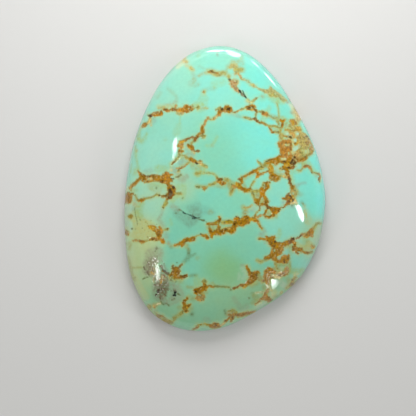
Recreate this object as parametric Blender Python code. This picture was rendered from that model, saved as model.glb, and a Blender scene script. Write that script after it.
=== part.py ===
"""A polished free-form turquoise cabochon: one natural stone, ground flat on the back and domed on the front.

Units are metres, +Z is up. The stone lies on its flat back, dome up.
Origin: centre of the outline's box, on the plane of the flat back.
+Y runs along the long axis towards the narrow end, +X towards the fuller shoulder.
"""

import math

import bmesh
import bpy

MM = 0.001

# ---- driving dimensions, in millimetres -------------------------------------------------
LENGTH = 36.0          # along Y
WIDTH = 25.4           # along X
THICKNESS = 6.2        # back plane to the crown of the dome
WALL_TOP = 1.70        # height where the ground wall turns into the dome
WALL_FOOT = 0.42       # height of the widest line, just over the back's bevel
WALL_LEAN = 0.024      # how far the wall leans in by its top, as a share of the radius
BACK_BEVEL = 0.026     # how far the back's bevel cuts in, as a share of the radius
CROWN = (0.9, -1.1)    # where the dome is highest, seen from above
DOME_POWER = 2.55      # over 2: the middle of the dome is flatter than an ellipse
DOME_ROOT = 0.66       # under 1: the dome steepens towards its wall
DOME_SOFT = 0.012      # keeps the dome from standing quite upright where it meets the wall

AROUND = 96            # meridians
DOME_ROWS = 22         # rings on the dome, closer together towards the wall

# The outline's template: 21 stations round the free-form egg, anticlockwise from the
# right-hand side, as a cutter would mark them on the slab. Millimetres, before the
# template is fitted to LENGTH and WIDTH.
TEMPLATE = [
    (12.67, -1.60),    # right, the fullest point
    (12.42, 0.95),
    (11.42, 4.95),
    (9.10, 9.75),
    (5.95, 14.40),
    (2.70, 17.12),
    (-0.65, 18.00),    # the narrow end
    (-4.60, 16.85),
    (-8.18, 13.25),
    (-11.00, 7.30),
    (-12.40, 0.90),
    (-12.66, -4.60),   # left, the long flat side
    (-11.77, -11.20),
    (-9.15, -15.78),
    (-5.20, -17.82),
    (-0.60, -17.68),   # the broad end
    (4.75, -15.08),
    (7.66, -13.10),
    (9.52, -11.20),
    (10.84, -9.05),
    (11.93, -6.45),
]


def closed_spline(points, samples):
    """A closed centripetal spline through the points, resampled evenly by length."""
    n = len(points)
    fine = []
    for i in range(n):
        p0, p1, p2, p3 = (points[(i + k - 1) % n] for k in range(4))
        t = [0.0]
        for a, b in ((p0, p1), (p1, p2), (p2, p3)):
            t.append(t[-1] + math.dist(a, b) ** 0.5)
        for s in range(24):
            u = t[1] + (t[2] - t[1]) * s / 24

            def mix(a, b, ta, tb):
                w = (u - ta) / (tb - ta)
                return tuple(x + (y - x) * w for x, y in zip(a, b))

            a1, a2, a3 = mix(p0, p1, t[0], t[1]), mix(p1, p2, t[1], t[2]), mix(p2, p3, t[2], t[3])
            b1, b2 = mix(a1, a2, t[0], t[2]), mix(a2, a3, t[1], t[3])
            fine.append(mix(b1, b2, t[1], t[2]))
    run = [0.0]
    for a, b in zip(fine, fine[1:] + fine[:1]):
        run.append(run[-1] + math.dist(a, b))
    out, k = [], 0
    for j in range(samples):
        want = run[-1] * j / samples
        while run[k + 1] < want:
            k += 1
        w = (want - run[k]) / (run[k + 1] - run[k])
        a, b = fine[k], fine[(k + 1) % len(fine)]
        out.append((a[0] + (b[0] - a[0]) * w, a[1] + (b[1] - a[1]) * w))
    return out


def outline():
    """The girdle, fitted to LENGTH and WIDTH and centred on the origin."""
    raw = closed_spline(TEMPLATE, AROUND)
    xs, ys = [p[0] for p in raw], [p[1] for p in raw]
    sx, sy = WIDTH / (max(xs) - min(xs)), LENGTH / (max(ys) - min(ys))
    cx, cy = (max(xs) + min(xs)) / 2, (max(ys) + min(ys)) / 2
    return [((x - cx) * sx, (y - cy) * sy) for x, y in raw]


def dome_height(share):
    """Height over the back at this share of the way from the crown to the wall's top."""
    soft = DOME_SOFT ** DOME_ROOT
    full = (1 + DOME_SOFT) ** DOME_ROOT - soft
    here = (1 + DOME_SOFT - share ** DOME_POWER) ** DOME_ROOT - soft
    return WALL_TOP + (THICKNESS - WALL_TOP) * here / full


def section():
    """The cut through the stone from the crown to the back, as (share of radius, height)."""
    top = 1 - WALL_LEAN
    rows = []
    for i in range(1, DOME_ROWS + 1):
        share = math.sin(math.pi / 2 * i / DOME_ROWS) ** 0.92
        rows.append((top * share, dome_height(share)))
    rows.append((1 - WALL_LEAN * 0.45, WALL_TOP * 0.62))
    rows.append((1.0, WALL_FOOT))
    rows.append((1 - BACK_BEVEL * 0.30, WALL_FOOT * 0.36))
    rows.append((1 - BACK_BEVEL, 0.0))
    return rows


def build_stone():
    rows = section()
    girdle = outline()
    mesh = bpy.data.meshes.new("turquoise_cabochon")
    bm = bmesh.new()
    # A ball with one ring for each row of the section, then every ring moved to its place.
    bmesh.ops.create_uvsphere(bm, u_segments=AROUND, v_segments=len(rows) + 1, radius=1.0)
    for v in bm.verts:
        from_top = math.acos(max(-1.0, min(1.0, v.co.z)))
        row = round(from_top / math.pi * (len(rows) + 1))
        if row == 0:
            v.co = (CROWN[0] * MM, CROWN[1] * MM, THICKNESS * MM)
        elif row == len(rows) + 1:
            v.co = (0.0, 0.0, 0.0)
        else:
            turn = math.atan2(v.co.y, v.co.x) % math.tau
            gx, gy = girdle[round(turn / math.tau * AROUND) % AROUND]
            share, z = rows[row - 1]
            # dome rings draw in to the crown; wall and back rings draw in to the origin
            to_crown = max(0.0, 1 - share / (1 - WALL_LEAN)) if row <= DOME_ROWS else 0.0
            x = CROWN[0] * to_crown + gx * share
            y = CROWN[1] * to_crown + gy * share
            v.co = (x * MM, y * MM, z * MM)
    bmesh.ops.recalc_face_normals(bm, faces=bm.faces)
    # the ground back is one flat face
    back = [f for f in bm.faces if all(abs(v.co.z) < 1e-7 for v in f.verts)]
    bmesh.ops.dissolve_faces(bm, faces=back, use_verts=True)
    for f in bm.faces:
        f.smooth = True
    bm.to_mesh(mesh)
    bm.free()
    mesh.set_sharp_from_angle(angle=math.radians(32))
    return mesh


def material():
    """Blue-green turquoise with a polished skin."""
    mat = bpy.data.materials.new("turquoise")
    mat.use_nodes = True
    bsdf = mat.node_tree.nodes["Principled BSDF"]
    bsdf.inputs["Base Color"].default_value = (0.235, 0.640, 0.470, 1.0)
    bsdf.inputs["Roughness"].default_value = 0.16
    bsdf.inputs["Metallic"].default_value = 0.0
    return mat


def main():
    for old in list(bpy.data.objects):
        bpy.data.objects.remove(old, do_unlink=True)
    home = bpy.data.collections.new("turquoise_cabochon")
    bpy.context.scene.collection.children.link(home)
    stone = bpy.data.objects.new("turquoise_stone", build_stone())
    stone.data.materials.append(material())
    home.objects.link(stone)


main()
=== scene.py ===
"""The looks of a polished turquoise cabochon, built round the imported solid.

One stone: a glossy blue-green dome, a golden-brown matrix web a little softer than the
turquoise, so the polish has undercut it, and a ground, unpolished back.
"""

import math

import bpy
import numpy as np
from mathutils import Matrix, Vector


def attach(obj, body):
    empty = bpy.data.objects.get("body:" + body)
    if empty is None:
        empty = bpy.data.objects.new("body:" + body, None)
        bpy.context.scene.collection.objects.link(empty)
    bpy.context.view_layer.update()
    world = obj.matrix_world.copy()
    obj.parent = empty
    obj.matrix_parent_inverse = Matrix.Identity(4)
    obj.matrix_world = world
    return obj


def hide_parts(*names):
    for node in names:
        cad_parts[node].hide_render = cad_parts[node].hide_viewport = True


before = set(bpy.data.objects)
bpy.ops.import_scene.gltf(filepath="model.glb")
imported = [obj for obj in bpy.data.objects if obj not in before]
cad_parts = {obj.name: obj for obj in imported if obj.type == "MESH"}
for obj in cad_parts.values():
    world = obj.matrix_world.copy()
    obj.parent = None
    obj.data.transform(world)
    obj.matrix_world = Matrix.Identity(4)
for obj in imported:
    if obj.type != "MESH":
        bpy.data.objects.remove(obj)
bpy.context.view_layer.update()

MM = 0.001

# ---- the stone's form, as in the CAD, in millimetres ---------------------------------------
LENGTH, WIDTH, THICKNESS = 36.0, 25.4, 6.2
WALL_TOP, WALL_FOOT, WALL_LEAN, BACK_BEVEL = 1.70, 0.42, 0.024, 0.026
CROWN = (0.9, -1.1)
DOME_POWER, DOME_ROOT, DOME_SOFT = 2.55, 0.66, 0.012
TEMPLATE = [
    (12.67, -1.60), (12.42, 0.95), (11.42, 4.95), (9.10, 9.75), (5.95, 14.40), (2.70, 17.12),
    (-0.65, 18.00), (-4.60, 16.85), (-8.18, 13.25), (-11.00, 7.30), (-12.40, 0.90),
    (-12.66, -4.60), (-11.77, -11.20), (-9.15, -15.78), (-5.20, -17.82), (-0.60, -17.68),
    (4.75, -15.08), (7.66, -13.10), (9.52, -11.20), (10.84, -9.05), (11.93, -6.45),
]

DOME_STEP = 0.116      # spacing of the fine mesh on the dome
WALL_STEP = 0.125
BACK_STEP = 0.25

# ---- the camera: straight over the stone ----------------------------------------------------
PIXELS = 416
PIXEL_MM = 0.126316            # one pixel at the height of the widest line
EYE = (-2.128, -2.463, 200.42)  # millimetres
FAR = 200.0                    # from the eye to the widest line
MIDDLE = (PIXELS - 1) / 2


def drawn_at(x, y, z):
    """Where the camera sees a point of the stone, as pixels across and down."""
    k = FAR / PIXEL_MM / (EYE[2] - z)
    return MIDDLE + (x - EYE[0]) * k, MIDDLE - (y - EYE[1]) * k


# ---- the fine mesh --------------------------------------------------------------------------
def closed_spline(points, samples):
    """A closed centripetal spline through the points, resampled evenly by length."""
    n = len(points)
    fine = []
    for i in range(n):
        p0, p1, p2, p3 = (points[(i + k - 1) % n] for k in range(4))
        t = [0.0]
        for a, b in ((p0, p1), (p1, p2), (p2, p3)):
            t.append(t[-1] + math.dist(a, b) ** 0.5)
        for s in range(24):
            u = t[1] + (t[2] - t[1]) * s / 24

            def mix(a, b, ta, tb):
                w = (u - ta) / (tb - ta)
                return tuple(x + (y - x) * w for x, y in zip(a, b))

            a1, a2, a3 = mix(p0, p1, t[0], t[1]), mix(p1, p2, t[1], t[2]), mix(p2, p3, t[2], t[3])
            b1, b2 = mix(a1, a2, t[0], t[2]), mix(a2, a3, t[1], t[3])
            fine.append(mix(b1, b2, t[1], t[2]))
    run = [0.0]
    for a, b in zip(fine, fine[1:] + fine[:1]):
        run.append(run[-1] + math.dist(a, b))
    out, k = [], 0
    for j in range(samples):
        want = run[-1] * j / samples
        while run[k + 1] < want:
            k += 1
        w = (want - run[k]) / (run[k + 1] - run[k])
        a, b = fine[k], fine[(k + 1) % len(fine)]
        out.append((a[0] + (b[0] - a[0]) * w, a[1] + (b[1] - a[1]) * w))
    return out


GIRDLE = np.array(closed_spline(TEMPLATE, 2000))
GIRDLE -= (GIRDLE.max(0) + GIRDLE.min(0)) / 2
GIRDLE *= np.array([WIDTH, LENGTH]) / (GIRDLE.max(0) - GIRDLE.min(0))
GIRDLE = np.vstack([GIRDLE, GIRDLE[:1]])
AROUND = float(np.linalg.norm(np.diff(GIRDLE, axis=0), axis=1).sum())
RADIUS = AROUND / math.tau


def girdle_at(t):
    turn = np.asarray(t) % 1.0 * (len(GIRDLE) - 1)
    k = np.arange(len(GIRDLE))
    return np.interp(turn, k, GIRDLE[:, 0]), np.interp(turn, k, GIRDLE[:, 1])


def dome_height(share):
    soft = DOME_SOFT ** DOME_ROOT
    full = (1 + DOME_SOFT) ** DOME_ROOT - soft
    here = (1 + DOME_SOFT - share ** DOME_POWER) ** DOME_ROOT - soft
    return WALL_TOP + (THICKNESS - WALL_TOP) * here / full


def section():
    """Rows from the crown over the wall to the middle of the back: (share, height, kind)."""
    top = 1 - WALL_LEAN
    share = np.linspace(0, 1, 4001)
    height = dome_height(share)
    run = np.concatenate([[0], np.cumsum(np.hypot(np.diff(share) * top * RADIUS, np.diff(height)))])
    n = round(run[-1] / DOME_STEP)
    s = np.interp(np.linspace(0, run[-1], n + 1)[1:], run, share)
    rows = [(top * a, b, "dome") for a, b in zip(s, dome_height(s))]
    # wall and bevel: a curve through the section's own stations
    at = [
        (top * 0.985, float(dome_height(0.985))),
        (top, WALL_TOP),
        (1 - WALL_LEAN * 0.45, WALL_TOP * 0.62),
        (1.0, WALL_FOOT),
        (1 - BACK_BEVEL * 0.30, WALL_FOOT * 0.36),
        (1 - BACK_BEVEL, 0.0),
    ]
    at.append((2 * at[-1][0] - at[-2][0], -at[-2][1]))
    at = [(a * RADIUS, b) for a, b in at]
    line = []
    for i in range(1, len(at) - 2):
        p0, p1, p2, p3 = (np.array(at[i + k]) for k in (-1, 0, 1, 2))
        for u in np.linspace(0, 1, 40, endpoint=False):
            line.append(0.5 * (2 * p1 + (p2 - p0) * u + (2 * p0 - 5 * p1 + 4 * p2 - p3) * u * u
                               + (3 * p1 - p0 - 3 * p2 + p3) * u ** 3))
    line.append(np.array(at[-2]))
    line = np.array(line)
    run = np.concatenate([[0], np.cumsum(np.linalg.norm(np.diff(line, axis=0), axis=1))])
    n = round(run[-1] / WALL_STEP)
    want = np.linspace(0, run[-1], n + 1)[1:]
    for a, b in zip(np.interp(want, run, line[:, 0]), np.interp(want, run, line[:, 1])):
        rows.append((min(a / RADIUS, 1.0), max(b, 0.0), "wall"))
    edge = 1 - BACK_BEVEL
    rows[-1] = (edge, 0.0, "wall")
    n = round(edge * RADIUS / BACK_STEP)
    for k in range(1, n):
        rows.append((edge * (1 - k / n), 0.0, "back"))
    return rows


def lay_out():
    """Vertices (mm), triangles, each vertex's row and turn, and the rows."""
    rows = section()
    top = 1 - WALL_LEAN
    points, turns, row_of, loops = [np.array([[*CROWN, THICKNESS]])], [np.zeros(1)], [np.zeros(1, int)], [[0]]
    count = 1
    for i, (share, z, kind) in enumerate(rows):
        step = {"dome": DOME_STEP, "wall": WALL_STEP, "back": BACK_STEP}[kind]
        if kind == "back":  # the mesh loosens gradually from the bevel inwards
            inward = (rows[-1][0] + (1 - BACK_BEVEL) - share) * RADIUS
            step = min(BACK_STEP, WALL_STEP + inward * 0.08)
        n = max(8, round(share * AROUND / step))
        t = (np.arange(n) + 0.5 * (i % 2)) / n
        gx, gy = girdle_at(t)
        to_crown = max(0.0, 1 - share / top) if kind == "dome" else 0.0
        points.append(np.stack([CROWN[0] * to_crown + gx * share, CROWN[1] * to_crown + gy * share,
                                np.full(n, z)], 1))
        turns.append(t)
        row_of.append(np.full(n, i + 1))
        loops.append(list(range(count, count + n)))
        count += n
    points.append(np.array([[0.0, 0.0, 0.0]]))
    turns.append(np.zeros(1))
    row_of.append(np.full(1, len(rows) + 1))
    last = count
    faces = [(0, loops[1][k], loops[1][(k + 1) % len(loops[1])]) for k in range(len(loops[1]))]
    for i in range(1, len(loops) - 1):
        a, b = loops[i], loops[i + 1]
        ta, tb = turns[i], turns[i + 1]
        na, nb, ka, kb = len(a), len(b), 0, 0
        while ka < na or kb < nb:
            next_a = ta[ka + 1] if ka + 1 < na else ta[0] + 1 if ka < na else 9
            next_b = tb[kb + 1] if kb + 1 < nb else tb[0] + 1 if kb < nb else 9
            if next_a < next_b:
                faces.append((a[ka], b[kb % nb], a[(ka + 1) % na]))
                ka += 1
            else:
                faces.append((a[ka % na], b[kb], b[(kb + 1) % nb]))
                kb += 1
    a = loops[-1]
    faces += [(a[k], last, a[(k + 1) % len(a)]) for k in range(len(a))]
    return np.vstack(points), np.array(faces), np.concatenate(row_of), np.concatenate(turns), rows


def normals_of(points, faces):
    a, b, c = points[faces[:, 0]], points[faces[:, 1]], points[faces[:, 2]]
    n = np.cross(b - a, c - a)
    out = np.zeros_like(points)
    for k in range(3):
        np.add.at(out, faces[:, k], n)
    return out / np.maximum(np.linalg.norm(out, axis=1), 1e-12)[:, None]


def swell(p, size, seed):
    """Smooth, repeatable waves through space, mostly within -1 to 1. size is in millimetres."""
    rng = np.random.default_rng(seed)
    total = np.zeros(len(p))
    for _ in range(7):
        d = rng.normal(size=3)
        d /= np.linalg.norm(d)
        total += np.sin(math.tau * ((0.55 + 0.9 * rng.random()) / size * (p @ d) + rng.random()))
    return total / 2.6


def smooth(low, high, x):
    t = np.clip((x - low) / (high - low), 0, 1)
    return t * t * (3 - 2 * t)


# ---- colours --------------------------------------------------------------------------------
def own(r, g, b):
    c = np.array([r, g, b]) / 255
    return np.where(c <= 0.04045, c / 12.92, ((c + 0.055) / 1.055) ** 2.4)


# The stone's own colours, by name.
TONES = {name: own(*rgb) for name, rgb in {
    # turquoise
    "cyan": (122, 216, 200),
    "mint": (138, 206, 184),
    "lagoon": (124, 232, 216),
    "frost": (160, 216, 190),
    "pool": (136, 208, 186),
    "sea": (126, 200, 172),
    "jade": (122, 192, 162),
    "leaf": (127, 180, 124),
    "celadon": (160, 198, 160),
    "apple": (182, 200, 144),
    "deep": (138, 186, 144),
    # matrix
    "ochre": (150, 108, 0),
    "gold": (178, 139, 26),
    "orange": (170, 117, 2),
    "rust": (164, 115, 38),
    "hazel": (140, 100, 2),
    "bark": (120, 84, 0),
    "russet": (142, 80, 0),
    "mustard": (148, 128, 10),
    "biscuit": (180, 140, 66),
    "brown": (122, 80, 6),
    "umber": (64, 44, 2),
    "black": (10, 10, 8),
    # stains
    "dusk": (98, 86, 52),
    "fern": (98, 110, 58),
    "olive": (148, 144, 66),
    "khaki": (166, 150, 78),
    "moss": (152, 180, 110),
    "lichen": (182, 188, 124),
    "sand": (178, 180, 114),
    "tan": (196, 172, 98),
    "cream": (214, 208, 160),
    "mist": (166, 192, 162),
    "slate": (110, 140, 118),
    "stone": (148, 150, 122),
    "smoke": (132, 132, 108),
    "ash": (138, 130, 102),
}.items()}

# How the turquoise drifts across the stone: (tone, weight, how far it reaches, its path). The tones grow darker towards
# the bottom: partly the stone's own greener tone, partly painted shade added to the key light's fall-off.
DRIFTS_AND_SHADE = [
    ("mint", 1.2, 26, [(204, 62), (172, 94), (160, 128), (150, 156)]),
    ("cyan", 1.3, 20, [(256, 74), (270, 106)]),
    ("cyan", 0.6, 15, [(208, 64), (216, 98)]),
    ("cyan", 1.3, 24, [(262, 148)]),
    ("cyan", 1.3, 16, [(314, 160), (308, 188)]),
    ("lagoon", 1.2, 10, [(318, 150), (321, 178), (321, 206)]),
    ("frost", 0.6, 14, [(182, 72), (166, 96)]),
    ("frost", 0.9, 13, [(150, 150), (146, 168), (146, 202)]),
    ("pool", 1.1, 20, [(212, 62), (218, 98)]),
    ("pool", 1.0, 18, [(280, 192), (284, 226)]),
    ("sea", 1.0, 22, [(216, 148), (228, 198)]),
    ("jade", 1.25, 18, [(192, 228), (206, 246)]),
    ("jade", 1.0, 18, [(240, 240)]),
    ("jade", 0.9, 14, [(182, 258)]),
    ("pool", 1.0, 12, [(300, 262)]),
    ("jade", 0.7, 12, [(268, 264)]),
    ("leaf", 2.4, 13, [(225, 268), (220, 263)]),
    ("celadon", 1.0, 13, [(130, 206), (150, 200), (152, 186), (178, 186)]),
    ("celadon", 1.0, 12, [(314, 232), (306, 244)]),
    ("apple", 1.6, 13, [(142, 228), (138, 286)]),
    ("apple", 1.2, 12, [(137, 254)]),
    ("celadon", 0.8, 12, [(135, 256)]),
    # deep: the darker band along the bottom, partly the stone's own tone, partly painted shade
    ("deep", 1.3, 20, [(158, 296), (172, 306), (204, 312), (222, 298), (236, 302), (278, 290)]),
]

# Soft stains inside the turquoise, and some pale strokes that are painted rim light and painted highlights: (tone,
# strength, stroke of (across, down, half-width)).
STAINS_AND_PAINTED_LIGHT = [
    ("gold", 0.55, [(280, 131, 2.0), (282, 137, 3.2), (281, 143, 3.4)]),
    ("tan", 0.78, [(288, 129, 3.4), (291, 136, 4.4), (291, 146, 4.6), (291, 154, 4.4)]),
    ("tan", 0.70, [(296, 128, 3.0), (297, 134, 3.2), (297, 142, 3.2), (297, 152, 3.0)]),
    ("gold", 0.70, [(302, 136, 3.8), (304.5, 142, 4.8), (303, 148, 4.0), (301, 155, 3.2)]),
    ("olive", 0.60, [(310, 144, 2.2), (311, 150, 2.0), (307, 156, 1.8)]),
    ("sand", 0.90, [(304.4, 151, 2.6), (306.6, 151.4, 2.6)]),
    ("gold", 0.75, [(280, 159, 2.6), (286, 161, 3.6), (290, 166, 3.0)]),
    ("olive", 0.70, [(260.5, 167, 2.0), (266, 164.5, 3.2), (273, 163, 3.0), (279, 160, 2.4)]),
    ("gold", 0.60, [(270, 167, 3.0), (272, 173.5, 3.4), (277, 178, 2.6)]),
    ("olive", 0.60, [(277, 171, 3.4), (283, 174.5, 2.8), (287, 172, 2.4)]),
    ("olive", 0.50, [(296, 159.5, 3.2), (303, 163.5, 2.2), (301, 168.5, 2.0)]),
    ("olive", 0.42, [(263, 112.5, 2.4), (270, 116, 2.8), (278, 118, 3.2), (284, 121.5, 3.4)]),
    ("olive", 0.50, [(271.5, 128, 2.2), (278, 129, 2.8), (283, 127, 2.6)]),
    ("olive", 0.62, [(256, 192, 3.0), (260, 196, 4.0), (262, 202, 3.6)]), ("olive", 0.4, [(254, 197, 2.0), (256, 202, 2.4)]),
    ("olive", 0.45, [(266, 207, 3.0), (269, 213, 3.0), (275, 213.5, 2.6)]),
    ("olive", 0.45, [(256, 171, 2.6), (246, 176, 2.4), (241, 181, 2.6), (245, 189, 2.6)]),
    ("olive", 0.62, [(222, 222.5, 2.8), (230, 222, 3.0), (237, 222, 3.4), (247, 221, 3.2)]),
    ("olive", 0.70, [(209, 227, 3.2), (214, 229, 3.4), (222, 230, 3.2), (232, 229, 3.2)]),
    ("olive", 0.45, [(203, 235, 1.8), (209, 235, 2.4)]),
    ("olive", 0.50, [(268, 240, 3.6), (276, 246, 3.8), (285, 245, 3.2), (295, 245, 2.8)]),
    ("olive", 0.50, [(279, 250, 3.0), (273, 255, 3.2), (281, 260, 3.0), (288, 258, 2.4)]),
    ("olive", 0.50, [(268, 272, 3.4), (267, 278, 3.2), (274, 274, 3.0), (283, 273, 2.8)]),
    ("lichen", 0.60, [(134, 214, 4.5), (137, 222, 6.0), (146, 226, 6.0), (152, 233, 5.0)]),
    ("lichen", 0.60, [(133, 232, 5.5), (142, 234, 6.0), (150, 234, 5.0)]),
    ("lichen", 0.12, [(130, 245, 5.0), (134, 254, 6.0), (136, 264, 5.0)]),
    ("lichen", 0.40, [(134, 277, 3.0), (138, 286, 4.0), (145, 296, 4.0)]),
    # pale frost along the left rim: painted rim light
    ("frost", 0.45, [(129, 205, 3.0), (128.6, 211, 3.0)]), ("frost", 0.50, [(129, 223, 2.4), (129.6, 230, 2.2)]),
    ("cream", 0.55, [(177, 66, 2.2), (181, 62.5, 2.4), (185, 60, 1.8)]),
    ("tan", 0.50, [(182, 61, 1.6), (185.5, 61, 1.8), (186.5, 63, 1.2)]),
    ("tan", 0.45, [(185, 65, 1.2), (190, 67.5, 2.0), (192.5, 69.5, 1.4)]),
    ("rust", 0.22, [(192, 70, 1.8), (193, 75, 2.2), (194, 79, 2.4)]),
    ("olive", 0.28, [(193.5, 79, 2.0), (193, 85, 1.6), (197.5, 84, 2.2)]),
    ("rust", 0.16, [(190, 83, 3.0)]),
    ("olive", 0.22, [(167, 88, 1.5), (172, 92, 1.6), (176, 96.5, 1.6), (176, 101, 1.4)]),
    ("olive", 0.22, [(157, 97, 1.8), (160, 92, 1.4)]),
    ("rust", 0.28, [(175, 101, 1.6), (171, 104, 2.4), (166, 104.5, 1.6)]),
    ("olive", 0.20, [(199, 66, 1.6), (204, 68.5, 1.4), (214, 68, 1.2)]),
    ("khaki", 0.50, [(198.5, 75, 1.6), (203, 73, 1.6), (209, 71.5, 2.8), (216, 73, 3.0), (223, 73.5, 2.6), (228, 76, 1.6)]),
    ("olive", 0.40, [(218, 73.5, 2.0), (222.5, 72, 2.2), (228, 76, 1.4)]),
    ("olive", 0.30, [(203, 91, 2.8), (208, 88.5, 1.5), (214, 88, 1.8)]),
    ("moss", 0.30, [(214, 84, 4.0), (222, 82, 3.5)]),
    ("moss", 0.35, [(203, 98, 5.0), (200, 106, 6.0)]),
    ("stone", 0.50, [(217, 53, 1.2), (217, 55, 1.0)]),
    ("moss", 0.35, [(198, 55, 2.0)]),
    ("khaki", 0.35, [(239, 60, 2.0), (236, 62, 2.6), (232, 61, 2.0)]),
    ("khaki", 0.50, [(230, 66, 2.4), (232.5, 64, 2.8), (236, 67, 2.8)]),
    ("tan", 0.55, [(231, 66, 1.8), (233.6, 64.6, 2.2), (236, 68, 2.2), (239.6, 70, 2.2)]),
    ("khaki", 0.30, [(241, 57, 2.4), (242, 63, 2.2)]),
    ("olive", 0.55, [(237, 69.5, 3.4), (242, 69.5, 2.6)]),
    ("mist", 0.50, [(233, 76, 2.6)]),
    ("rust", 0.50, [(236, 73, 2.2)]),
    ("olive", 0.38, [(227, 66, 1.8), (226, 72, 1.8), (229, 75, 1.4)]),
    ("olive", 0.35, [(242, 79, 1.6), (247, 80, 2.0), (250, 84, 1.8)]),
    ("moss", 0.55, [(271, 96, 4.5), (277, 99, 4.5), (283, 101, 2.5)]),
    ("moss", 0.70, [(276.8, 103, 1.0), (277.8, 110, 0.8), (278.6, 116, 0.8)]),
    ("moss", 0.30, [(262, 97, 4.0)]),
    ("rust", 0.30, [(262, 96, 1.8)]),
    ("moss", 0.45, [(269, 107, 2.2), (264, 116, 3.4), (262, 121, 3.0)]),
    ("stone", 0.75, [(287, 101.5, 1.6)]),
    ("cream", 0.75, [(289.5, 104, 1.2), (293, 108, 1.8), (297, 114, 1.8), (299, 118, 1.4)]),
    ("tan", 0.60, [(293, 111, 2.6), (296, 116, 2.0)]),
    ("stone", 0.60, [(291, 112, 1.5)]),
    ("tan", 0.30, [(247, 101, 2.4), (251, 103.5, 2.2)]),
    ("moss", 0.40, [(283, 118, 3.0), (286, 124, 4.0), (284, 130, 3.4), (281, 136, 3.0)]),
    ("moss", 0.55, [(292, 126, 3.2), (300, 126, 2.4), (301, 131, 2.0)]),
    ("moss", 0.20, [(300, 136, 4.0), (303, 142, 4.0)]),
    ("moss", 0.40, [(194.5, 103.5, 2.4), (202, 104, 1.5)]),
    ("rust", 0.30, [(199, 107.5, 1.5), (205, 107.7, 1.5)]),
    ("moss", 0.42, [(180, 112, 1.0), (179.5, 118, 1.0), (179.5, 123, 1.0)]),
    ("lichen", 0.45, [(158, 106, 2.4), (167, 106, 2.4), (175, 106.6, 2.4)]),
    ("moss", 0.30, [(178, 126, 3.0), (176, 132, 4.0), (174.5, 134, 2.0)]),
    ("moss", 0.25, [(165, 139, 2.0)]),
    ("tan", 0.60, [(149.5, 117, 1.4), (149.5, 121, 1.5), (150.5, 125, 1.2)]),
    ("stone", 0.35, [(153, 120, 3.0)]),
    ("moss", 0.70, [(139.5, 127, 1.8), (137.5, 134, 2.4), (138.5, 139, 3.0)]),
    ("moss", 0.55, [(146, 133, 1.4), (144, 138, 1.8), (141, 141, 2.2)]),
    ("rust", 0.45, [(136, 150, 1.5)]),
    ("moss", 0.55, [(135, 146, 1.5), (135.5, 156, 1.5), (136.5, 162, 1.3), (138, 168, 1.3)]),
    ("moss", 0.45, [(131, 164, 0.8), (130, 172, 0.8)]),
    ("moss", 0.50, [(135, 169, 2.0), (134, 174, 1.6)]),
    ("stone", 0.30, [(145, 172, 3.0), (150, 170, 3.0)]),
    ("moss", 0.45, [(158, 168, 4.0), (165, 168, 3.0)]),
    ("stone", 0.45, [(182, 162, 4.5), (190, 154, 4.0)]),
    ("stone", 0.40, [(186, 147, 3.0), (184, 141.5, 3.0), (190, 141, 2.5)]),
    ("moss", 0.45, [(175, 157, 2.0), (180, 156, 3.0)]),
    ("stone", 0.55, [(173, 169, 3.0), (177, 172, 3.0), (181, 179, 3.0), (186, 176, 2.5)]),
    ("moss", 0.55, [(193, 165, 4.0), (200, 168, 5.0), (197, 173, 4.0)]),
    ("stone", 0.35, [(192, 166, 2.4), (199, 167, 2.4)]),
    ("moss", 0.45, [(170, 164, 2.0), (170.5, 169, 1.6)]),
    ("cream", 0.55, [(170.5, 169.2, 1.5)]),
    # painted highlight: a pale cream streak at the lower end of the upper-left highlight
    ("cream", 0.50, [(173.5, 159.5, 0.9), (171, 163, 0.9)]),
    ("moss", 0.35, [(206, 145.5, 1.8), (211.5, 144.5, 1.8), (214, 141, 1.2)]),
    ("moss", 0.42, [(214, 141, 1.3), (216.8, 136.5, 1.6)]),
    ("rust", 0.22, [(212, 145, 1.8)]),
    ("rust", 0.20, [(231, 113, 2.0), (236, 115, 2.0)]),
    ("olive", 0.45, [(237, 115, 1.0), (241, 116.5, 1.4), (246, 117.5, 1.4)]),
    ("moss", 0.55, [(200, 171.5, 2.4), (209, 172.5, 1.8), (213, 173.5, 1.5), (216.5, 177, 1.6)]),
    ("olive", 0.50, [(196.5, 173, 2.0), (200, 172, 1.8)]),
    ("olive", 0.62, [(223, 180, 2.4), (227, 181.5, 3.2), (232, 184, 3.2), (236, 186, 2.4)]),
    ("olive", 0.45, [(214, 183.5, 2.0), (219, 185, 2.4), (224, 186, 2.0)]),
    ("olive", 0.60, [(196, 186, 1.6), (203, 186, 1.8), (209, 184.8, 1.6), (213.5, 183, 1.6)]),
    ("fern", 0.40, [(198, 186, 1.6)]),
    ("olive", 0.60, [(230, 186, 3.0), (230.5, 190, 2.0), (230.2, 194, 1.5)]),
    ("moss", 0.40, [(156, 183, 5.0), (165, 184, 3.0), (152, 186, 4.0)]),
    ("moss", 0.40, [(178, 186, 3.0), (184, 186, 2.0), (182, 197, 3.0)]),
    ("moss", 0.45, [(136, 190, 2.0), (131, 190, 2.0)]),
    ("cream", 0.70, [(126.6, 186, 0.9), (126.3, 190, 0.9)]),
    ("stone", 0.35, [(135, 197, 2.0), (134.5, 203, 1.6), (133, 209, 2.5)]),
    ("tan", 0.35, [(133, 203, 2.2), (137, 206, 2.5)]),
    ("moss", 0.55, [(141, 203, 3.0), (138, 210, 4.0), (139, 216, 4.0)]),
    ("stone", 0.50, [(162.5, 207, 1.2), (161.5, 212, 1.3), (159.5, 216.5, 1.4), (158, 219, 1.6)]),
    ("stone", 0.40, [(160, 222, 2.4), (163, 225, 2.0)]),
    ("moss", 0.35, [(171, 224, 1.5), (170, 219, 1.2)]),
    ("moss", 0.50, [(176, 195.5, 2.4), (172, 200, 2.4)]),
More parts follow.
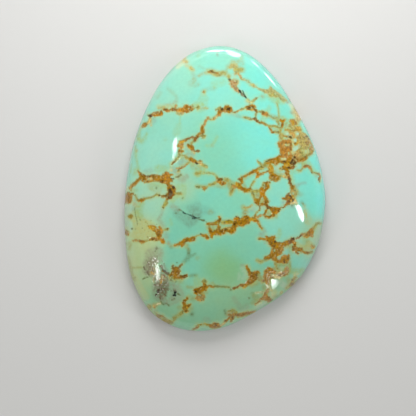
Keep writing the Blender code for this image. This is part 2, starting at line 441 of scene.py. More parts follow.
    ("lichen", 0.40, [(132, 218, 2.4), (138, 220, 3.2), (145, 222, 3.2), (150, 224, 2.6)]),
    ("lichen", 0.42, [(136, 232, 4.5), (143, 234, 4.5), (137, 237, 3.0)]),
    ("lichen", 0.40, [(140, 227, 4.0), (147, 230, 3.5)]),
    ("stone", 0.35, [(166, 236, 3.0), (165, 232, 2.0)]),
    # pale mist along the left rim: painted rim light
    ("mist", 0.8, [(127.6, 206, 2.4), (127, 220, 2.6), (128.6, 229, 2.0)]),
    ("stone", 0.30, [(246, 211, 2.4), (253, 209, 2.4)]), ("khaki", 0.22, [(150, 186, 3.4), (158, 190, 4.2)]),
    ("stone", 0.50, [(174, 207.5, 3.0), (172, 206, 2.4), (178, 209, 2.4)]),
    ("slate", 0.36, [(177, 213, 4.4), (183, 217, 5.0), (190, 220, 5.5), (197, 213, 5.0), (190, 208, 4.0)]),
    ("slate", 0.24, [(189, 224, 4.2), (193, 216, 6.0), (197, 206, 4.8)]),
    ("slate", 0.22, [(205, 210, 4.0), (212, 212, 3.0)]),
    ("olive", 0.30, [(210, 211.5, 2.6)]),
    ("smoke", 0.40, [(156, 247.5, 2.0)]),
    ("stone", 0.50, [(150, 254, 6.0), (158, 252, 5.0), (156, 258, 5.0)]),
    ("khaki", 0.55, [(168, 243.4, 1.2), (171, 245.6, 1.8), (175.4, 245.6, 1.4)]), ("fern", 0.35, [(171, 247, 1.6)]),
    ("stone", 0.50, [(168, 242, 1.8)]),
    ("olive", 0.55, [(186, 245, 2.2), (188, 249, 1.8)]),
    ("fern", 0.50, [(188, 249.5, 1.5), (188.3, 253.5, 1.8), (187, 258, 2.2), (183, 262, 1.5)]),
    ("fern", 0.45, [(191, 255.5, 1.4), (194.5, 253.5, 1.2)]),
    ("olive", 0.30, [(197, 257.5, 2.2)]),
    ("moss", 0.40, [(196, 277, 3.0), (197, 283, 4.0)]),
    ("fern", 0.45, [(190, 275.3, 1.6), (195, 274.3, 1.4)]),
    ("olive", 0.45, [(187, 286.5, 1.6), (192, 287, 1.5)]),
    ("olive", 0.50, [(125.5, 244, 1.2), (130, 243, 1.4), (128.5, 248, 1.8)]),
    ("olive", 0.65, [(127, 256, 1.1), (129, 262, 1.4), (130.5, 268, 1.2), (132, 274, 1.0), (134, 280, 1.0)]),
    ("olive", 0.50, [(131, 267.3, 0.9), (137, 267.2, 0.9), (142, 267, 1.0)]),
    ("stone", 0.55, [(147, 263, 5.0), (153, 260, 5.0), (146, 270, 4.5), (150, 266, 5.0)]),
    ("smoke", 0.55, [(148, 272, 3.4), (149, 268, 3.0)]),
    ("ash", 0.55, [(150, 264, 5.0), (153, 271, 5.5), (158, 278, 5.0), (162, 286, 6.0), (162, 295, 4.5)]),
    ("smoke", 0.60, [(162, 268, 3.6), (165, 274, 4.2), (164, 280, 5.0), (162, 286, 6.0)]),
    ("dusk", 0.62, [(162, 283, 3.5), (163, 289, 4.0), (161.5, 295, 3.2)]),
    ("smoke", 0.55, [(157, 282, 3.0), (155, 286, 3.5), (157, 296, 4.0), (163, 301, 3.4)]),
    ("smoke", 0.45, [(170, 283, 4.0), (173, 288, 3.5), (172, 296, 3.4)]),
    ("stone", 0.45, [(176, 286, 4.0), (180, 296, 4.0), (168, 302, 4.0)]),
    ("mist", 0.35, [(281, 283, 3.4)]),
    ("khaki", 0.75, [(266.4, 283.6, 1.6), (267.6, 288, 1.6), (266.8, 291.4, 1.4)]),
    ("tan", 0.80, [(295.6, 118.6, 1.6), (297.4, 121.4, 1.6)]),
    ("lagoon", 0.70, [(301.6, 123.4, 1.4), (303.6, 127.6, 1.8), (305.6, 132, 1.3)]),
    ("olive", 0.60, [(232, 188, 1.5), (233.6, 190.4, 1.3), (231.6, 191.6, 1.1)]), ("olive", 0.40, [(244.6, 211, 2.0)]), ("olive", 0.40, [(255, 196, 1.7)]),
    ("olive", 0.50, [(301.4, 202.4, 1.0), (303.8, 204.4, 1.0), (303.4, 207, 0.7)]),
    ("sand", 0.75, [(304.6, 210, 0.6), (305.4, 213, 0.7), (305.6, 216.4, 0.5)]),
    ("tan", 0.45, [(150.5, 272.8, 1.4)]),
    ("rust", 0.60, [(153, 268.5, 1.2), (153.5, 272.5, 1.6)]),
    ("rust", 0.55, [(163.5, 277, 2.4), (160, 280, 1.6)]),
    ("olive", 0.50, [(170, 279.5, 1.4), (175, 280, 1.6), (181, 281, 2.0)]),
    ("cream", 0.60, [(159, 303.2, 1.2)]), ("cream", 0.35, [(163, 296, 0.8)]),
    ("orange", 0.55, [(154, 304.8, 2.1)]),
    ("cream", 0.45, [(154, 305, 1.2)]),
    ("olive", 0.60, [(149.5, 306, 1.8), (151, 309, 1.2)]),
    ("olive", 0.50, [(155, 311.5, 2.4), (157, 315, 2.0), (163, 320, 1.6)]),
    ("olive", 0.55, [(180, 313.5, 2.4), (174.5, 317, 1.8), (171.5, 321, 1.8)]),
    ("olive", 0.40, [(185, 308, 3.2), (190, 308, 3.0), (179, 307, 2.2)]),
    ("fern", 0.45, [(191.5, 313.5, 2.0)]),
    ("olive", 0.45, [(188, 297, 2.4), (193, 298, 2.6)]),
    ("olive", 0.50, [(203.5, 292, 2.6), (206, 292, 1.6)]),
    ("olive", 0.55, [(212, 283, 1.6), (214, 285.3, 1.3)]),
    ("fern", 0.62, [(214, 286, 1.1), (221, 286.1, 1.1), (229, 286.7, 1.0)]),
    ("fern", 0.60, [(230.5, 289, 1.3)]),
    ("mist", 0.55, [(239, 276, 1.4), (238.5, 273, 1.0), (238, 279, 0.9)]),
    ("mist", 0.45, [(242, 268, 2.5), (245, 275, 2.4), (242, 278, 2.0)]),
    ("stone", 0.45, [(244.5, 265, 1.3), (241, 265, 1.4)]),
    ("olive", 0.50, [(255, 282, 3.2), (251, 285, 2.2)]),
    ("olive", 0.40, [(262, 281, 3.0), (259, 279, 2.0)]),
    ("rust", 0.45, [(258.5, 276.5, 1.6)]),
    ("stone", 0.30, [(233.5, 298, 2.4), (241, 308, 3.0), (246, 306, 3.0)]),
    ("fern", 0.45, [(248.6, 297.8, 1.0)]), ("fern", 0.40, [(251.4, 292.6, 0.9), (254, 292.4, 0.6)]),
    ("olive", 0.45, [(254, 295, 3.4), (256, 300, 3.0), (252, 302.5, 1.6)]),
    ("olive", 0.50, [(257, 259.5, 1.8), (260, 261.5, 1.8)]),
    ("stone", 0.55, [(228, 313.5, 3.0), (229, 317, 2.0)]),
    ("olive", 0.45, [(233, 311, 3.0), (237, 314, 2.0)]),
    ("fern", 0.55, [(224.3, 310, 1.1), (225.3, 313.5, 1.2)]),
    ("stone", 0.25, [(206, 320, 4.0)]),
    ("olive", 0.35, [(246, 311, 1.4), (252, 311, 1.2)]),
    ("stone", 0.50, [(261, 234, 3.0), (264, 231, 2.0)]),
    ("olive", 0.50, [(256.5, 219, 2.0), (259, 224, 1.6), (262, 228.5, 1.6)]),
    ("olive", 0.55, [(242.5, 206.5, 2.4), (244, 210, 2.4), (243, 213.5, 2.0)]),
    ("rust", 0.45, [(245.5, 212.5, 1.8)]),
    ("olive", 0.45, [(255.5, 193, 2.6), (252, 194, 1.4)]),
    ("stone", 0.50, [(257, 195.5, 2.0), (262.5, 199, 1.6)]),
    ("mist", 0.50, [(264, 207.5, 2.2), (252, 207, 2.6)]),
    ("olive", 0.50, [(269, 212.5, 1.8), (276, 217, 1.4)]),
    ("stone", 0.40, [(283, 202, 2.0), (293, 206, 2.0)]),
    ("fern", 0.50, [(291.5, 205, 1.2)]),
    ("fern", 0.32, [(302.5, 203.5, 1.6), (301, 201, 1.2)]),
    ("khaki", 0.25, [(304, 211, 1.8), (305.5, 217, 1.8), (306, 221, 2.2)]),
    ("olive", 0.55, [(293, 188.5, 2.4), (296.5, 192, 2.2), (294, 195, 1.6)]),
    ("olive", 0.30, [(300, 194, 2.4)]),
    ("stone", 0.45, [(295, 185.5, 2.4), (301, 183, 1.3), (305, 182.5, 1.0)]),
    ("moss", 0.40, [(297, 170, 2.4), (291, 173, 1.8), (292, 180, 2.4)]),
    ("moss", 0.45, [(303, 163, 2.0), (308, 162, 1.8), (315, 173, 1.8)]),
    ("stone", 0.50, [(316, 175.5, 1.6)]),
    ("cream", 0.55, [(320.6, 178, 1.0), (320.3, 174, 1.0)]),
    ("moss", 0.50, [(279, 229, 1.6), (279, 234, 2.0), (277.5, 238, 1.2)]),
    ("moss", 0.35, [(304, 237, 3.4), (306, 244, 4.0), (303, 247, 3.0)]),
    ("olive", 0.42, [(307, 241, 2.0), (308, 247, 2.8), (302, 247.5, 1.6)]),
    ("olive", 0.55, [(312.5, 246.5, 2.2), (310, 244.5, 1.6)]),
    ("olive", 0.30, [(289, 247, 3.0), (290, 252, 2.4)]),
    ("mist", 0.60, [(285.5, 247.5, 1.8), (283, 251.5, 2.0)]),
    ("mist", 0.85, [(278.6, 257, 2.1)]),
    ("mist", 0.90, [(293.8, 149, 2.2), (296.2, 147.2, 2.4)]),
    ("mist", 0.75, [(286, 133.4, 1.9)]),
    ("mist", 0.85, [(297.2, 133.2, 1.6)]),
    ("mist", 0.85, [(294.8, 138.8, 1.7), (295, 140.6, 1.3)]),
    ("sand", 0.85, [(283.2, 138.2, 1.4)]),
    ("sand", 0.85, [(285.6, 144.8, 1.5)]),
    ("sand", 0.85, [(288.4, 152.4, 1.3)]),
    ("cream", 0.60, [(281.8, 158.6, 1.2), (284.8, 158.4, 1.3)]),
    ("mist", 0.80, [(277.4, 165.4, 2.2), (276.4, 169.6, 1.8)]),
    ("mist", 0.75, [(281.8, 171.8, 1.9), (283, 173.4, 1.4)]),
    ("mist", 0.55, [(296.6, 165.6, 2.4)]),
    ("stone", 0.45, [(285.4, 124.6, 1.8)]),
    ("lichen", 0.35, [(304, 206, 2.0), (306, 213, 3.2), (308, 221, 4.0)]),
    ("olive", 0.55, [(293, 187, 2.4), (295.4, 193, 2.4), (293.6, 197.4, 1.6)]),
    ("lichen", 0.60, [(299, 246, 3.4), (305, 248.4, 3.6), (309, 243.4, 3.0)]),
    ("mist", 0.60, [(317.6, 228, 2.4), (317.6, 234, 3.0), (316, 240, 2.8)]),
    ("lichen", 0.60, [(274.4, 291.6, 2.4), (274, 295, 2.8)]), ("mist", 0.65, [(281, 282, 2.8), (284, 285, 3.0)]),
    # pale mist and cream by the lower-right rim: painted highlight
    ("mist", 0.75, [(257.4, 306.4, 1.8), (261, 305, 2.4), (265, 302.4, 1.8)]), ("cream", 0.5, [(256, 304.4, 0.8), (261, 302, 0.8)]),
    ("stone", 0.50, [(229, 312.4, 2.6), (234, 312.8, 2.6)]),
    ("olive", 0.50, [(273, 269, 2.6), (281, 270.4, 3.0), (288, 270, 2.4)]),
    ("olive", 0.55, [(276, 264, 1.6), (282, 264.6, 1.8), (288.6, 264.4, 1.6)]),
    ("stone", 0.60, [(264, 243, 0.8)]),
    ("olive", 0.50, [(289.5, 262, 1.4), (289, 268, 1.6), (288, 273, 1.6)]),
    ("moss", 0.60, [(291, 270.5, 3.0), (298, 271.4, 3.4), (303, 269.5, 2.4)]),
    ("olive", 0.50, [(275.5, 263, 1.2), (276, 268, 1.4), (279, 265, 1.6)]),
    ("cream", 0.35, [(281, 268.5, 1.8)]),
    ("olive", 0.55, [(288, 279, 2.0), (288.5, 284, 2.0), (286, 288, 1.8)]),
    ("cream", 0.55, [(294.5, 274, 1.2), (297, 273.5, 1.0)]),
    ("fern", 0.45, [(277, 296.5, 1.6), (273, 296, 1.6)]),
    ("cream", 0.40, [(271, 291, 1.8), (272, 295, 2.0)]),
    ("olive", 0.50, [(263, 287, 1.8), (265.5, 291, 1.8), (262, 293, 1.6)]),
    ("stone", 0.55, [(267.5, 288, 1.4)]),
]

# The matrix, with a few cream and tan strokes that are painted sparkle highlights: (tone, opacity, stroke of (across,
# down, half-width)).
VEINS_AND_SPARKLES = [
    # upper left seam
    ("ochre", 1.0, [(141.8, 125.6, 1.2), (144, 124.6, 1.7), (146.5, 122.7, 1.0)]),
    ("tan", 0.8, [(146.5, 122.5, 0.8), (149, 121, 1.0), (149.8, 118, 0.7)]),
    ("umber", 1.0, [(148.7, 115.3, 1.2), (150, 115.2, 1.5), (151.5, 114.5, 0.9)]),
    ("rust", 0.9, [(151, 114.4, 0.9), (154.5, 113, 1.1), (158, 112.4, 1.1)]),
    ("orange", 1.0, [(152, 115, 0.7), (156, 114.8, 0.9), (160.4, 113.4, 1.5), (161, 111, 0.9)]),
    ("khaki", 0.55, [(158.5, 108, 0.8), (160.6, 107, 1.0), (164, 107, 0.8)]),
    ("rust", 1.0, [(162.8, 109, 1.0), (165, 109.2, 1.5), (167.5, 110, 1.0), (168.6, 110.6, 0.7)]),
    ("rust", 0.95, [(169.6, 109.5, 0.8), (172.5, 109, 1.2), (176, 109.5, 1.1)]),
    ("rust", 0.8, [(174.6, 107, 1.0), (175.2, 104.9, 0.8)]),
    ("orange", 1.0, [(176, 109.7, 1.2), (180, 110, 2.4), (184, 109.8, 2.3), (187.5, 109.8, 1.6)]),
    ("tan", 0.8, [(179, 111.5, 1.6), (182, 112.5, 1.4)]),
    ("olive", 0.7, [(176.5, 113, 1.0), (179, 113.5, 0.9)]),
    ("orange", 1.0, [(184, 106.6, 1.1), (186, 106, 1.7), (187.3, 107.2, 1.1)]),
    ("ochre", 0.9, [(186, 110.8, 1.3), (189.5, 109.4, 1.2), (191.8, 108.4, 1.2)]),
    ("rust", 1.0, [(189.5, 107, 1.5), (191, 107.2, 1.2)]),
    ("olive", 0.6, [(192, 105.5, 1.0), (193.6, 107.5, 0.9)]),
    ("olive", 0.85, [(197.3, 107, 1.6)]),
    ("olive", 0.6, [(204.6, 107.8, 0.3), (207.4, 108, 0.3)]),
    # top stains
    ("tan", 0.5, [(184, 60.4, 1.0), (185.8, 61.6, 1.1)]),
    ("tan", 0.6, [(190.4, 67.7, 1.2), (192.3, 69.2, 0.7)]),
    ("ochre", 0.85, [(207.5, 71, 0.6), (209.8, 70.9, 1.2), (213, 71.8, 1.0), (216, 72.6, 1.2), (218, 73.8, 0.9)]),
    ("olive", 0.7, [(214, 74, 1.2), (218, 75, 1.0), (222.8, 71.8, 1.1)]),
    ("ochre", 0.75, [(203.4, 91.6, 1.0)]),
    # top right, from the rim down to the crack
    ("khaki", 0.55, [(229.6, 66.5, 1.0), (232, 65, 1.4), (234.5, 67, 1.8)]),
    ("olive", 0.50, [(235.5, 69.5, 2.0), (238.5, 69.5, 1.8), (241.5, 68.8, 1.2)]),
    ("khaki", 0.65, [(234, 68, 1.0), (236.5, 71.5, 1.4), (235.3, 73, 1.1)]),
    ("rust", 0.80, [(238.2, 73.6, 0.7), (239.8, 76, 0.9), (241.2, 78.4, 0.7)]),
    ("khaki", 0.60, [(241, 78.6, 0.6), (244.5, 79.6, 0.4), (248, 81.2, 0.6), (250.5, 83.2, 0.5)]),
    ("khaki", 0.75, [(250.5, 83.4, 0.5), (253.4, 85.4, 1.1), (256, 86.8, 0.5)]),
    ("ochre", 0.80, [(253.4, 85.4, 0.6)]),
    ("khaki", 0.70, [(256, 86.8, 0.5), (259.5, 88.8, 0.8), (263.5, 89.8, 1.0)]),
    ("rust", 0.70, [(260, 89, 0.6), (264.4, 89.8, 0.7)]),
    ("olive", 0.8, [(227.6, 75.6, 0.8), (228.6, 77.5, 0.9)]),
    ("rust", 0.82, [(230, 80.3, 1.2), (233, 82, 2.2), (235.2, 83.4, 1.8)]),
    ("gold", 0.8, [(232.6, 82, 0.9), (234.6, 83.6, 1.0), (236.4, 86.4, 0.7)]),
    ("rust", 0.82, [(230.6, 83.6, 1.0), (232.5, 85.4, 1.4), (234.3, 86.6, 1.4)]),
    ("rust", 0.82, [(234.5, 87, 1.3), (236.3, 89.3, 1.5), (238, 91.2, 1.2)]),
    ("khaki", 0.8, [(233.5, 79.8, 1.0), (237, 80.4, 1.1), (236.6, 83.5, 1.2)]),
    ("ash", 0.9, [(239.8, 90.6, 0.7), (242, 93.5, 0.9), (244.3, 95.8, 0.7)]),
    ("lichen", 0.70, [(246.5, 99, 0.9), (249.5, 101.7, 1.1), (252, 101.7, 0.9)]),
    ("olive", 0.85, [(251.8, 101.3, 1.0), (254, 99.3, 0.9), (256, 97.7, 1.0)]),
    ("khaki", 0.80, [(262, 89.6, 1.1), (265.5, 91, 1.4), (269, 91.4, 1.8)]),
    ("khaki", 0.85, [(270, 87, 0.8), (270.4, 89.6, 1.4), (272, 92, 1.8), (271.3, 94.2, 1.2)]),
    ("khaki", 0.75, [(272, 89.8, 0.9), (275.5, 91.8, 1.2), (278.5, 94.2, 1.0)]),
    ("olive", 0.85, [(270, 94, 1.4), (273.5, 95, 1.2), (278.8, 95.6, 1.1)]),
    ("khaki", 0.65, [(277.8, 93.8, 1.1), (281.5, 96.6, 1.2), (285, 99.6, 1.0)]),
    ("olive", 0.75, [(279.6, 97, 0.9), (283, 100.2, 0.9)]),
    ("olive", 0.50, [(276.6, 102.5, 0.6), (277.4, 106, 0.4), (278, 111, 0.4), (278.4, 115, 0.4)]),
    # knots and threads of the upper middle
    ("olive", 0.85, [(216, 109.2, 0.8), (218, 108.4, 1.3), (220, 107, 0.7)]),
    ("ochre", 1.0, [(218.6, 112.6, 1.5), (219.6, 110.8, 2.0), (221.5, 109.8, 1.4)]),
    ("ochre", 1.0, [(223, 110, 1.1), (225.2, 109.8, 1.7), (228.5, 109.6, 2.5), (230.6, 110, 1.4)]),
    ("ochre", 1.0, [(225.3, 105.8, 1.1), (226.8, 107.5, 2.3), (229.5, 108.2, 1.7)]),
    ("ochre", 0.9, [(231.8, 112, 0.5), (234.5, 112, 0.5), (237, 110.8, 0.5), (240, 109.3, 0.4)]),
    ("olive", 0.9, [(240, 109.3, 0.7), (243, 108.4, 0.7), (246, 107, 0.8)]),
    ("ochre", 1.0, [(246, 106.8, 1.2), (248.4, 107, 2.2), (251.5, 105.5, 1.7), (253.8, 106.2, 1.5)]),
    ("ochre", 1.0, [(253, 107.5, 1.0), (254.7, 109.6, 1.1), (256.4, 111.3, 1.0)]),
    ("gold", 0.9, [(250, 108, 1.4), (252, 109, 1.2)]),
    ("olive", 0.85, [(256.4, 111, 0.8), (259.5, 111.2, 1.0), (262, 111.6, 1.1)]),
    ("olive", 0.75, [(255.6, 112.5, 0.8), (255.2, 115, 0.8), (254.8, 117, 0.9)]),
    ("rust", 0.95, [(262, 112.6, 1.1), (264.5, 113.4, 1.8), (266.6, 114.3, 1.2)]),
    ("olive", 0.6, [(266, 114.6, 0.5), (270, 116, 0.6), (273.5, 117.7, 1.0), (277.5, 118.2, 1.0)]),
    ("olive", 0.85, [(244, 117, 0.7), (247, 117.6, 1.0), (250.5, 118.5, 0.9)]),
    ("brown", 0.95, [(250.5, 118.6, 0.6), (254, 118.4, 1.0), (256.4, 120.2, 1.0), (258.6, 121.6, 0.8)]),
    ("ochre", 0.9, [(258.6, 121.7, 0.8), (262, 122.4, 0.9), (265.5, 124, 0.8)]),
    ("olive", 0.95, [(265.5, 124.2, 0.7), (270, 125.6, 0.7), (275, 125.7, 0.7), (278.5, 127.2, 0.7), (281, 127, 0.7)]),
    ("rust", 0.95, [(268.8, 127, 0.6), (270, 128.7, 0.8), (271, 130.6, 0.7)]),
    ("ochre", 1.0, [(271, 130.8, 0.7), (272.4, 131.9, 0.9), (274.5, 131.2, 0.6)]),
    ("olive", 0.85, [(274.5, 131.2, 0.9), (277, 132, 1.1), (279.5, 130.5, 0.9)]),
    ("ochre", 1.0, [(280, 119.6, 1.0), (282, 120.6, 1.3), (283.2, 119.8, 1.0)]),
    ("ochre", 1.0, [(282, 121.5, 0.9), (282, 124.4, 0.9), (280.6, 127, 0.9)]),
    ("olive", 0.75, [(277, 121, 1.0), (278.4, 124, 1.0)]),
    # the big mass on the right
    ("rust", 0.85, [(290.8, 120.6, 1.6), (293, 121.8, 2.3), (295, 123.4, 1.6)]),
    ("ochre", 0.85, [(291.6, 119.8, 1.0), (294.4, 122, 1.2)]),
    ("khaki", 0.75, [(290, 125.5, 1.6), (294, 126.5, 1.8)]),
    ("tan", 0.80, [(294.6, 108, 0.8), (296.6, 113, 1.3), (298.6, 118.6, 1.5)]),
    ("gold", 1.0, [(296.4, 127.4, 1.4), (298, 128.7, 1.8), (300, 129.5, 1.0)]),
    ("ochre", 0.85, [(284.8, 129.4, 0.4), (288, 129.4, 0.7), (292, 130.2, 0.8), (295.4, 129.8, 0.7)]),
    ("biscuit", 0.85, [(289.6, 132, 0.9), (292.4, 132.8, 1.3), (293, 136, 1.4)]),
    ("khaki", 0.85, [(279.6, 133.4, 1.2), (281.2, 137.4, 1.5)]), ("ochre", 0.85, [(283, 134.8, 0.6), (286.5, 136.4, 0.8)]),
    ("khaki", 0.90, [(299.4, 133, 1.6), (302.5, 135.4, 2.6), (305, 138.5, 3.2)]),
    ("khaki", 0.85, [(298.4, 138, 2.2), (302, 141.5, 3.2), (304.5, 146, 3.0)]), ("biscuit", 0.6, [(299, 141, 1.2), (302.4, 144, 1.4)]),
    ("ochre", 0.85, [(305.5, 141.5, 1.6), (307, 143.8, 1.6), (309, 141, 1.6)]),
    ("biscuit", 0.8, [(308, 140, 1.7), (310.8, 144.5, 1.4), (312.6, 149, 1.2)]),
    ("ochre", 0.9, [(309.6, 148, 1.3), (311.8, 151, 1.2), (309.4, 153.5, 1.2)]),
    ("rust", 0.95, [(280.8, 142, 1.4), (284.5, 141.4, 1.9), (288.5, 141.3, 1.8)]),
    ("biscuit", 0.95, [(281.4, 147, 1.4), (284, 143, 1.1)]), ("biscuit", 0.95, [(286.4, 150.4, 1.6), (289.6, 153.6, 1.2)]),
    ("khaki", 0.9, [(283, 154.8, 1.2), (279.8, 152, 0.7)]),
    ("rust", 1.0, [(280, 144.8, 1.7), (281.8, 148.5, 2.2), (283, 152.5, 2.8)]),
    ("ochre", 0.95, [(278.4, 142.5, 0.9), (278.8, 146, 0.9)]),
    ("rust", 1.0, [(286, 148, 2.4), (286, 153, 2.8), (290, 147.5, 1.8)]),
    ("rust", 0.95, [(290.6, 142.8, 1.0), (289.8, 146, 1.3), (290.4, 149.5, 1.2)]),
    ("gold", 0.9, [(295, 143.5, 1.1), (297.5, 141.5, 1.4), (297, 137.5, 1.2)]),
    ("rust", 1.0, [(282, 156, 2.2), (286.5, 156.4, 2.0), (290, 155.5, 2.0)]),
    ("khaki", 0.95, [(299, 150, 1.8), (300, 153.5, 1.8), (299.5, 157, 1.8)]),
    ("ochre", 0.95, [(299, 158.5, 1.9), (302.5, 159, 1.9), (305.4, 156.8, 1.5), (306.4, 154.6, 1.0)]),
    ("olive", 0.8, [(306, 155.5, 1.0), (309, 153.6, 1.0), (310.6, 151, 1.0)]),
    ("olive", 0.75, [(300.6, 148.4, 1.1), (304, 146.6, 1.1), (308, 147, 1.2)]),
    ("olive", 0.7, [(301, 152, 1.0), (302.6, 155, 1.2)]),
    ("biscuit", 0.85, [(294.4, 155, 1.3), (297.5, 153.5, 1.6), (297, 149.5, 0.7)]),
    ("rust", 0.95, [(294.8, 154.2, 1.0), (296.5, 157.5, 1.4), (298, 160.5, 1.2)]),
    # down from the mass to the lower web
    ("olive", 0.9, [(264.8, 162.6, 1.0), (266.4, 161, 1.3), (269, 160, 1.1)]),
    ("ochre", 1.0, [(268.5, 160.2, 1.1), (273, 159.8, 1.5), (277, 158, 1.8), (279.8, 155.8, 1.5)]),
    ("ochre", 1.0, [(266.5, 162.6, 1.4), (271, 161.6, 1.5), (275, 161.6, 2.0), (278, 159.6, 2.2)]),
    ("ochre", 1.0, [(275.6, 163, 1.7), (277, 161.5, 1.4)]),
    ("ochre", 1.0, [(281.5, 161, 1.7), (284.6, 161.8, 2.0), (287.5, 160, 1.9), (289.6, 158.5, 2.0)]),
    ("gold", 1.0, [(285.5, 165, 2.0), (287.4, 163.6, 2.2), (288.6, 166.8, 1.6)]),
    ("brown", 1.0, [(289.8, 162.5, 1.1), (291.6, 160.6, 1.5), (293.4, 157.6, 1.2)]),
    ("brown", 1.0, [(291.5, 164, 1.3), (294, 163, 1.3), (295.3, 160.6, 0.9)]),
    ("ochre", 1.0, [(282.6, 166.3, 1.4), (284.5, 167.6, 1.7), (287, 168.8, 1.6)]),
    ("ochre", 0.9, [(279.5, 167.6, 0.8), (281.8, 168.7, 1.0)]),
    ("brown", 1.0, [(289, 167, 1.5), (291.8, 167.4, 1.3), (293.4, 166, 1.1)]),
    ("gold", 1.0, [(269.5, 166, 1.6), (270.6, 168.8, 2.2), (270.8, 172, 1.7)]),
    ("ochre", 1.0, [(270.8, 172, 1.7), (272.6, 174.8, 2.2), (275, 176.6, 2.2), (277.5, 177.4, 1.9)]),
    ("ochre", 0.9, [(270, 176.6, 1.4), (271, 179, 1.1), (276.5, 179.6, 1.2)]),
    ("olive", 0.85, [(278.6, 178, 1.0), (279.8, 175.5, 0.9)]),
    ("ochre", 0.9, [(261, 173.4, 0.9), (264.2, 171.8, 0.8), (268.6, 170.6, 1.0)]),
    ("ochre", 1.0, [(287.3, 170.5, 1.3), (286.4, 173, 1.6), (287.8, 175.6, 1.5)]),
    ("tan", 0.9, [(283.5, 176, 0.9), (286, 176.4, 1.2)]),
    ("brown", 1.0, [(288.2, 176.5, 1.2), (289, 179, 1.3), (289.6, 182, 1.0), (290.6, 184.4, 1.2)]),
    ("ochre", 0.95, [(290.6, 184.4, 1.3), (292, 187, 1.8), (291.4, 190, 1.4)]),
    ("rust", 0.95, [(303, 166.8, 0.8), (305.4, 165.4, 1.2), (308, 165.8, 1.2), (310, 168, 0.9)]), ("brown", 0.8, [(304.4, 167, 0.5), (307, 166.6, 0.5)]),
    ("olive", 0.9, [(310, 168.2, 0.6), (311.5, 171.2, 1.0), (313.8, 172, 0.6), (317, 173.2, 0.6)]),
    ("ochre", 0.9, [(318.6, 173.6, 0.7), (319.6, 176, 0.6), (318.7, 178.6, 0.9), (319.2, 180.6, 0.6)]),
    ("olive", 0.75, [(302, 167.6, 0.5), (300.8, 169.4, 0.5), (298.8, 170.5, 0.6), (296.8, 169.4, 0.5)]),
    # centre right web
    ("olive", 0.9, [(257.8, 161, 0.9), (259.6, 163.4, 1.2), (261, 165, 1.0)]),
    ("olive", 0.95, [(264, 164.5, 1.0), (262, 167.2, 1.4), (258.6, 168.2, 1.3)]),
    ("ochre", 1.0, [(258.2, 168.2, 0.8), (255.6, 169.8, 1.2), (252.6, 171.2, 1.4), (249.8, 172.6, 1.0)]),
    ("ochre", 0.95, [(249.8, 172.8, 0.8), (247, 174.4, 1.0), (244.2, 175.8, 0.8), (241.6, 177, 0.8)]),
    ("ochre", 1.0, [(241.4, 176.8, 1.0), (240.6, 179.2, 1.4), (241.6, 181.6, 1.0), (239.8, 183.6, 0.9)]),
    ("brown", 0.9, [(238.4, 178.8, 0.9), (240, 179.4, 1.0)]),
    ("gold", 1.0, [(236.4, 183.6, 1.5), (238, 184.8, 2.2), (239.2, 187, 1.8)]),
    ("orange", 1.0, [(255.8, 171, 1.0), (257.2, 173.4, 1.4), (257.4, 175.6, 1.3), (256.2, 177, 0.8)]),
    ("orange", 0.95, [(258, 174, 1.4), (261, 173.4, 1.2)]),
    ("olive", 0.9, [(256.2, 177, 0.5), (254.6, 179.4, 0.5), (252.6, 182, 0.7), (251, 184.6, 0.7), (250, 187, 0.7)]),
    ("ochre", 1.0, [(239.2, 187, 1.6), (242, 188.6, 1.7), (245, 189.8, 1.8), (248, 189.6, 1.6), (249.6, 188, 1.0)]),
    ("olive", 0.95, [(248.5, 190.6, 1.1), (252, 190.6, 1.2), (256, 190.6, 1.2), (259, 190.2, 1.4)]),
    ("olive", 0.85, [(251.6, 190.8, 1.0), (252.4, 193.6, 1.2), (253.4, 196.4, 1.0), (254.6, 198.6, 1.1)]),
    ("ochre", 1.0, [(254.8, 199, 1.4), (256.4, 201, 2.2), (257.6, 203.4, 1.6)]),
    ("ochre", 0.95, [(258, 199.6, 1.0), (259.8, 197.2, 1.1), (261.2, 195.4, 1.2)]),
    ("brown", 0.95, [(257, 203, 0.9), (258.6, 205.4, 0.7), (259.4, 208, 0.7), (258.8, 210, 0.6)]),
    ("ochre", 0.9, [(259.4, 206, 0.8), (260.4, 204.2, 0.8), (262.4, 202.8, 0.9)]),
    ("olive", 0.9, [(258.4, 209.8, 0.6), (256.8, 211.8, 0.6), (255.2, 213.8, 0.7), (254, 216, 0.8)]),
    ("orange", 1.0, [(261.4, 188.4, 1.8), (262, 191.6, 2.5), (261.8, 194.6, 1.9)]),
    ("ochre", 1.0, [(264.4, 183.2, 1.0), (266.6, 182.6, 1.2), (269, 182.2, 0.9)]),
    ("ochre", 1.0, [(266.6, 184.4, 1.6), (266.8, 186.8, 1.9), (265, 189, 1.4)]),
    ("olive", 0.85, [(263, 183.4, 1.1), (262.6, 186, 1.4)]),
    ("ochre", 0.95, [(263.8, 196, 1.2), (265.4, 198.8, 1.6), (266.4, 201.6, 2.0)]),
    ("ochre", 1.0, [(265.4, 202.4, 1.8), (263.4, 203.6, 1.2), (261.2, 204, 0.9)]),
    ("brown", 1.0, [(266.2, 204.6, 1.2), (267.8, 206.8, 1.3), (270, 208, 1.1)]),
    ("ochre", 1.0, [(270.4, 208.6, 1.3), (273.4, 209.4, 2.2), (276.6, 208.8, 1.7), (278.8, 209, 1.5)]),
    ("orange", 1.0, [(273, 212, 1.7), (275.6, 211.8, 1.8), (277.6, 211, 1.2)]),
    ("ochre", 1.0, [(273.6, 214.2, 1.4), (271.4, 216, 1.2), (268.4, 216.8, 1.0), (265.2, 216.4, 1.2)]),
    ("ochre", 0.95, [(265, 216.2, 1.0), (263.2, 214.6, 0.9), (264.6, 212.6, 0.8), (265.8, 210.2, 1.0), (267.2, 208.4, 0.7)]),
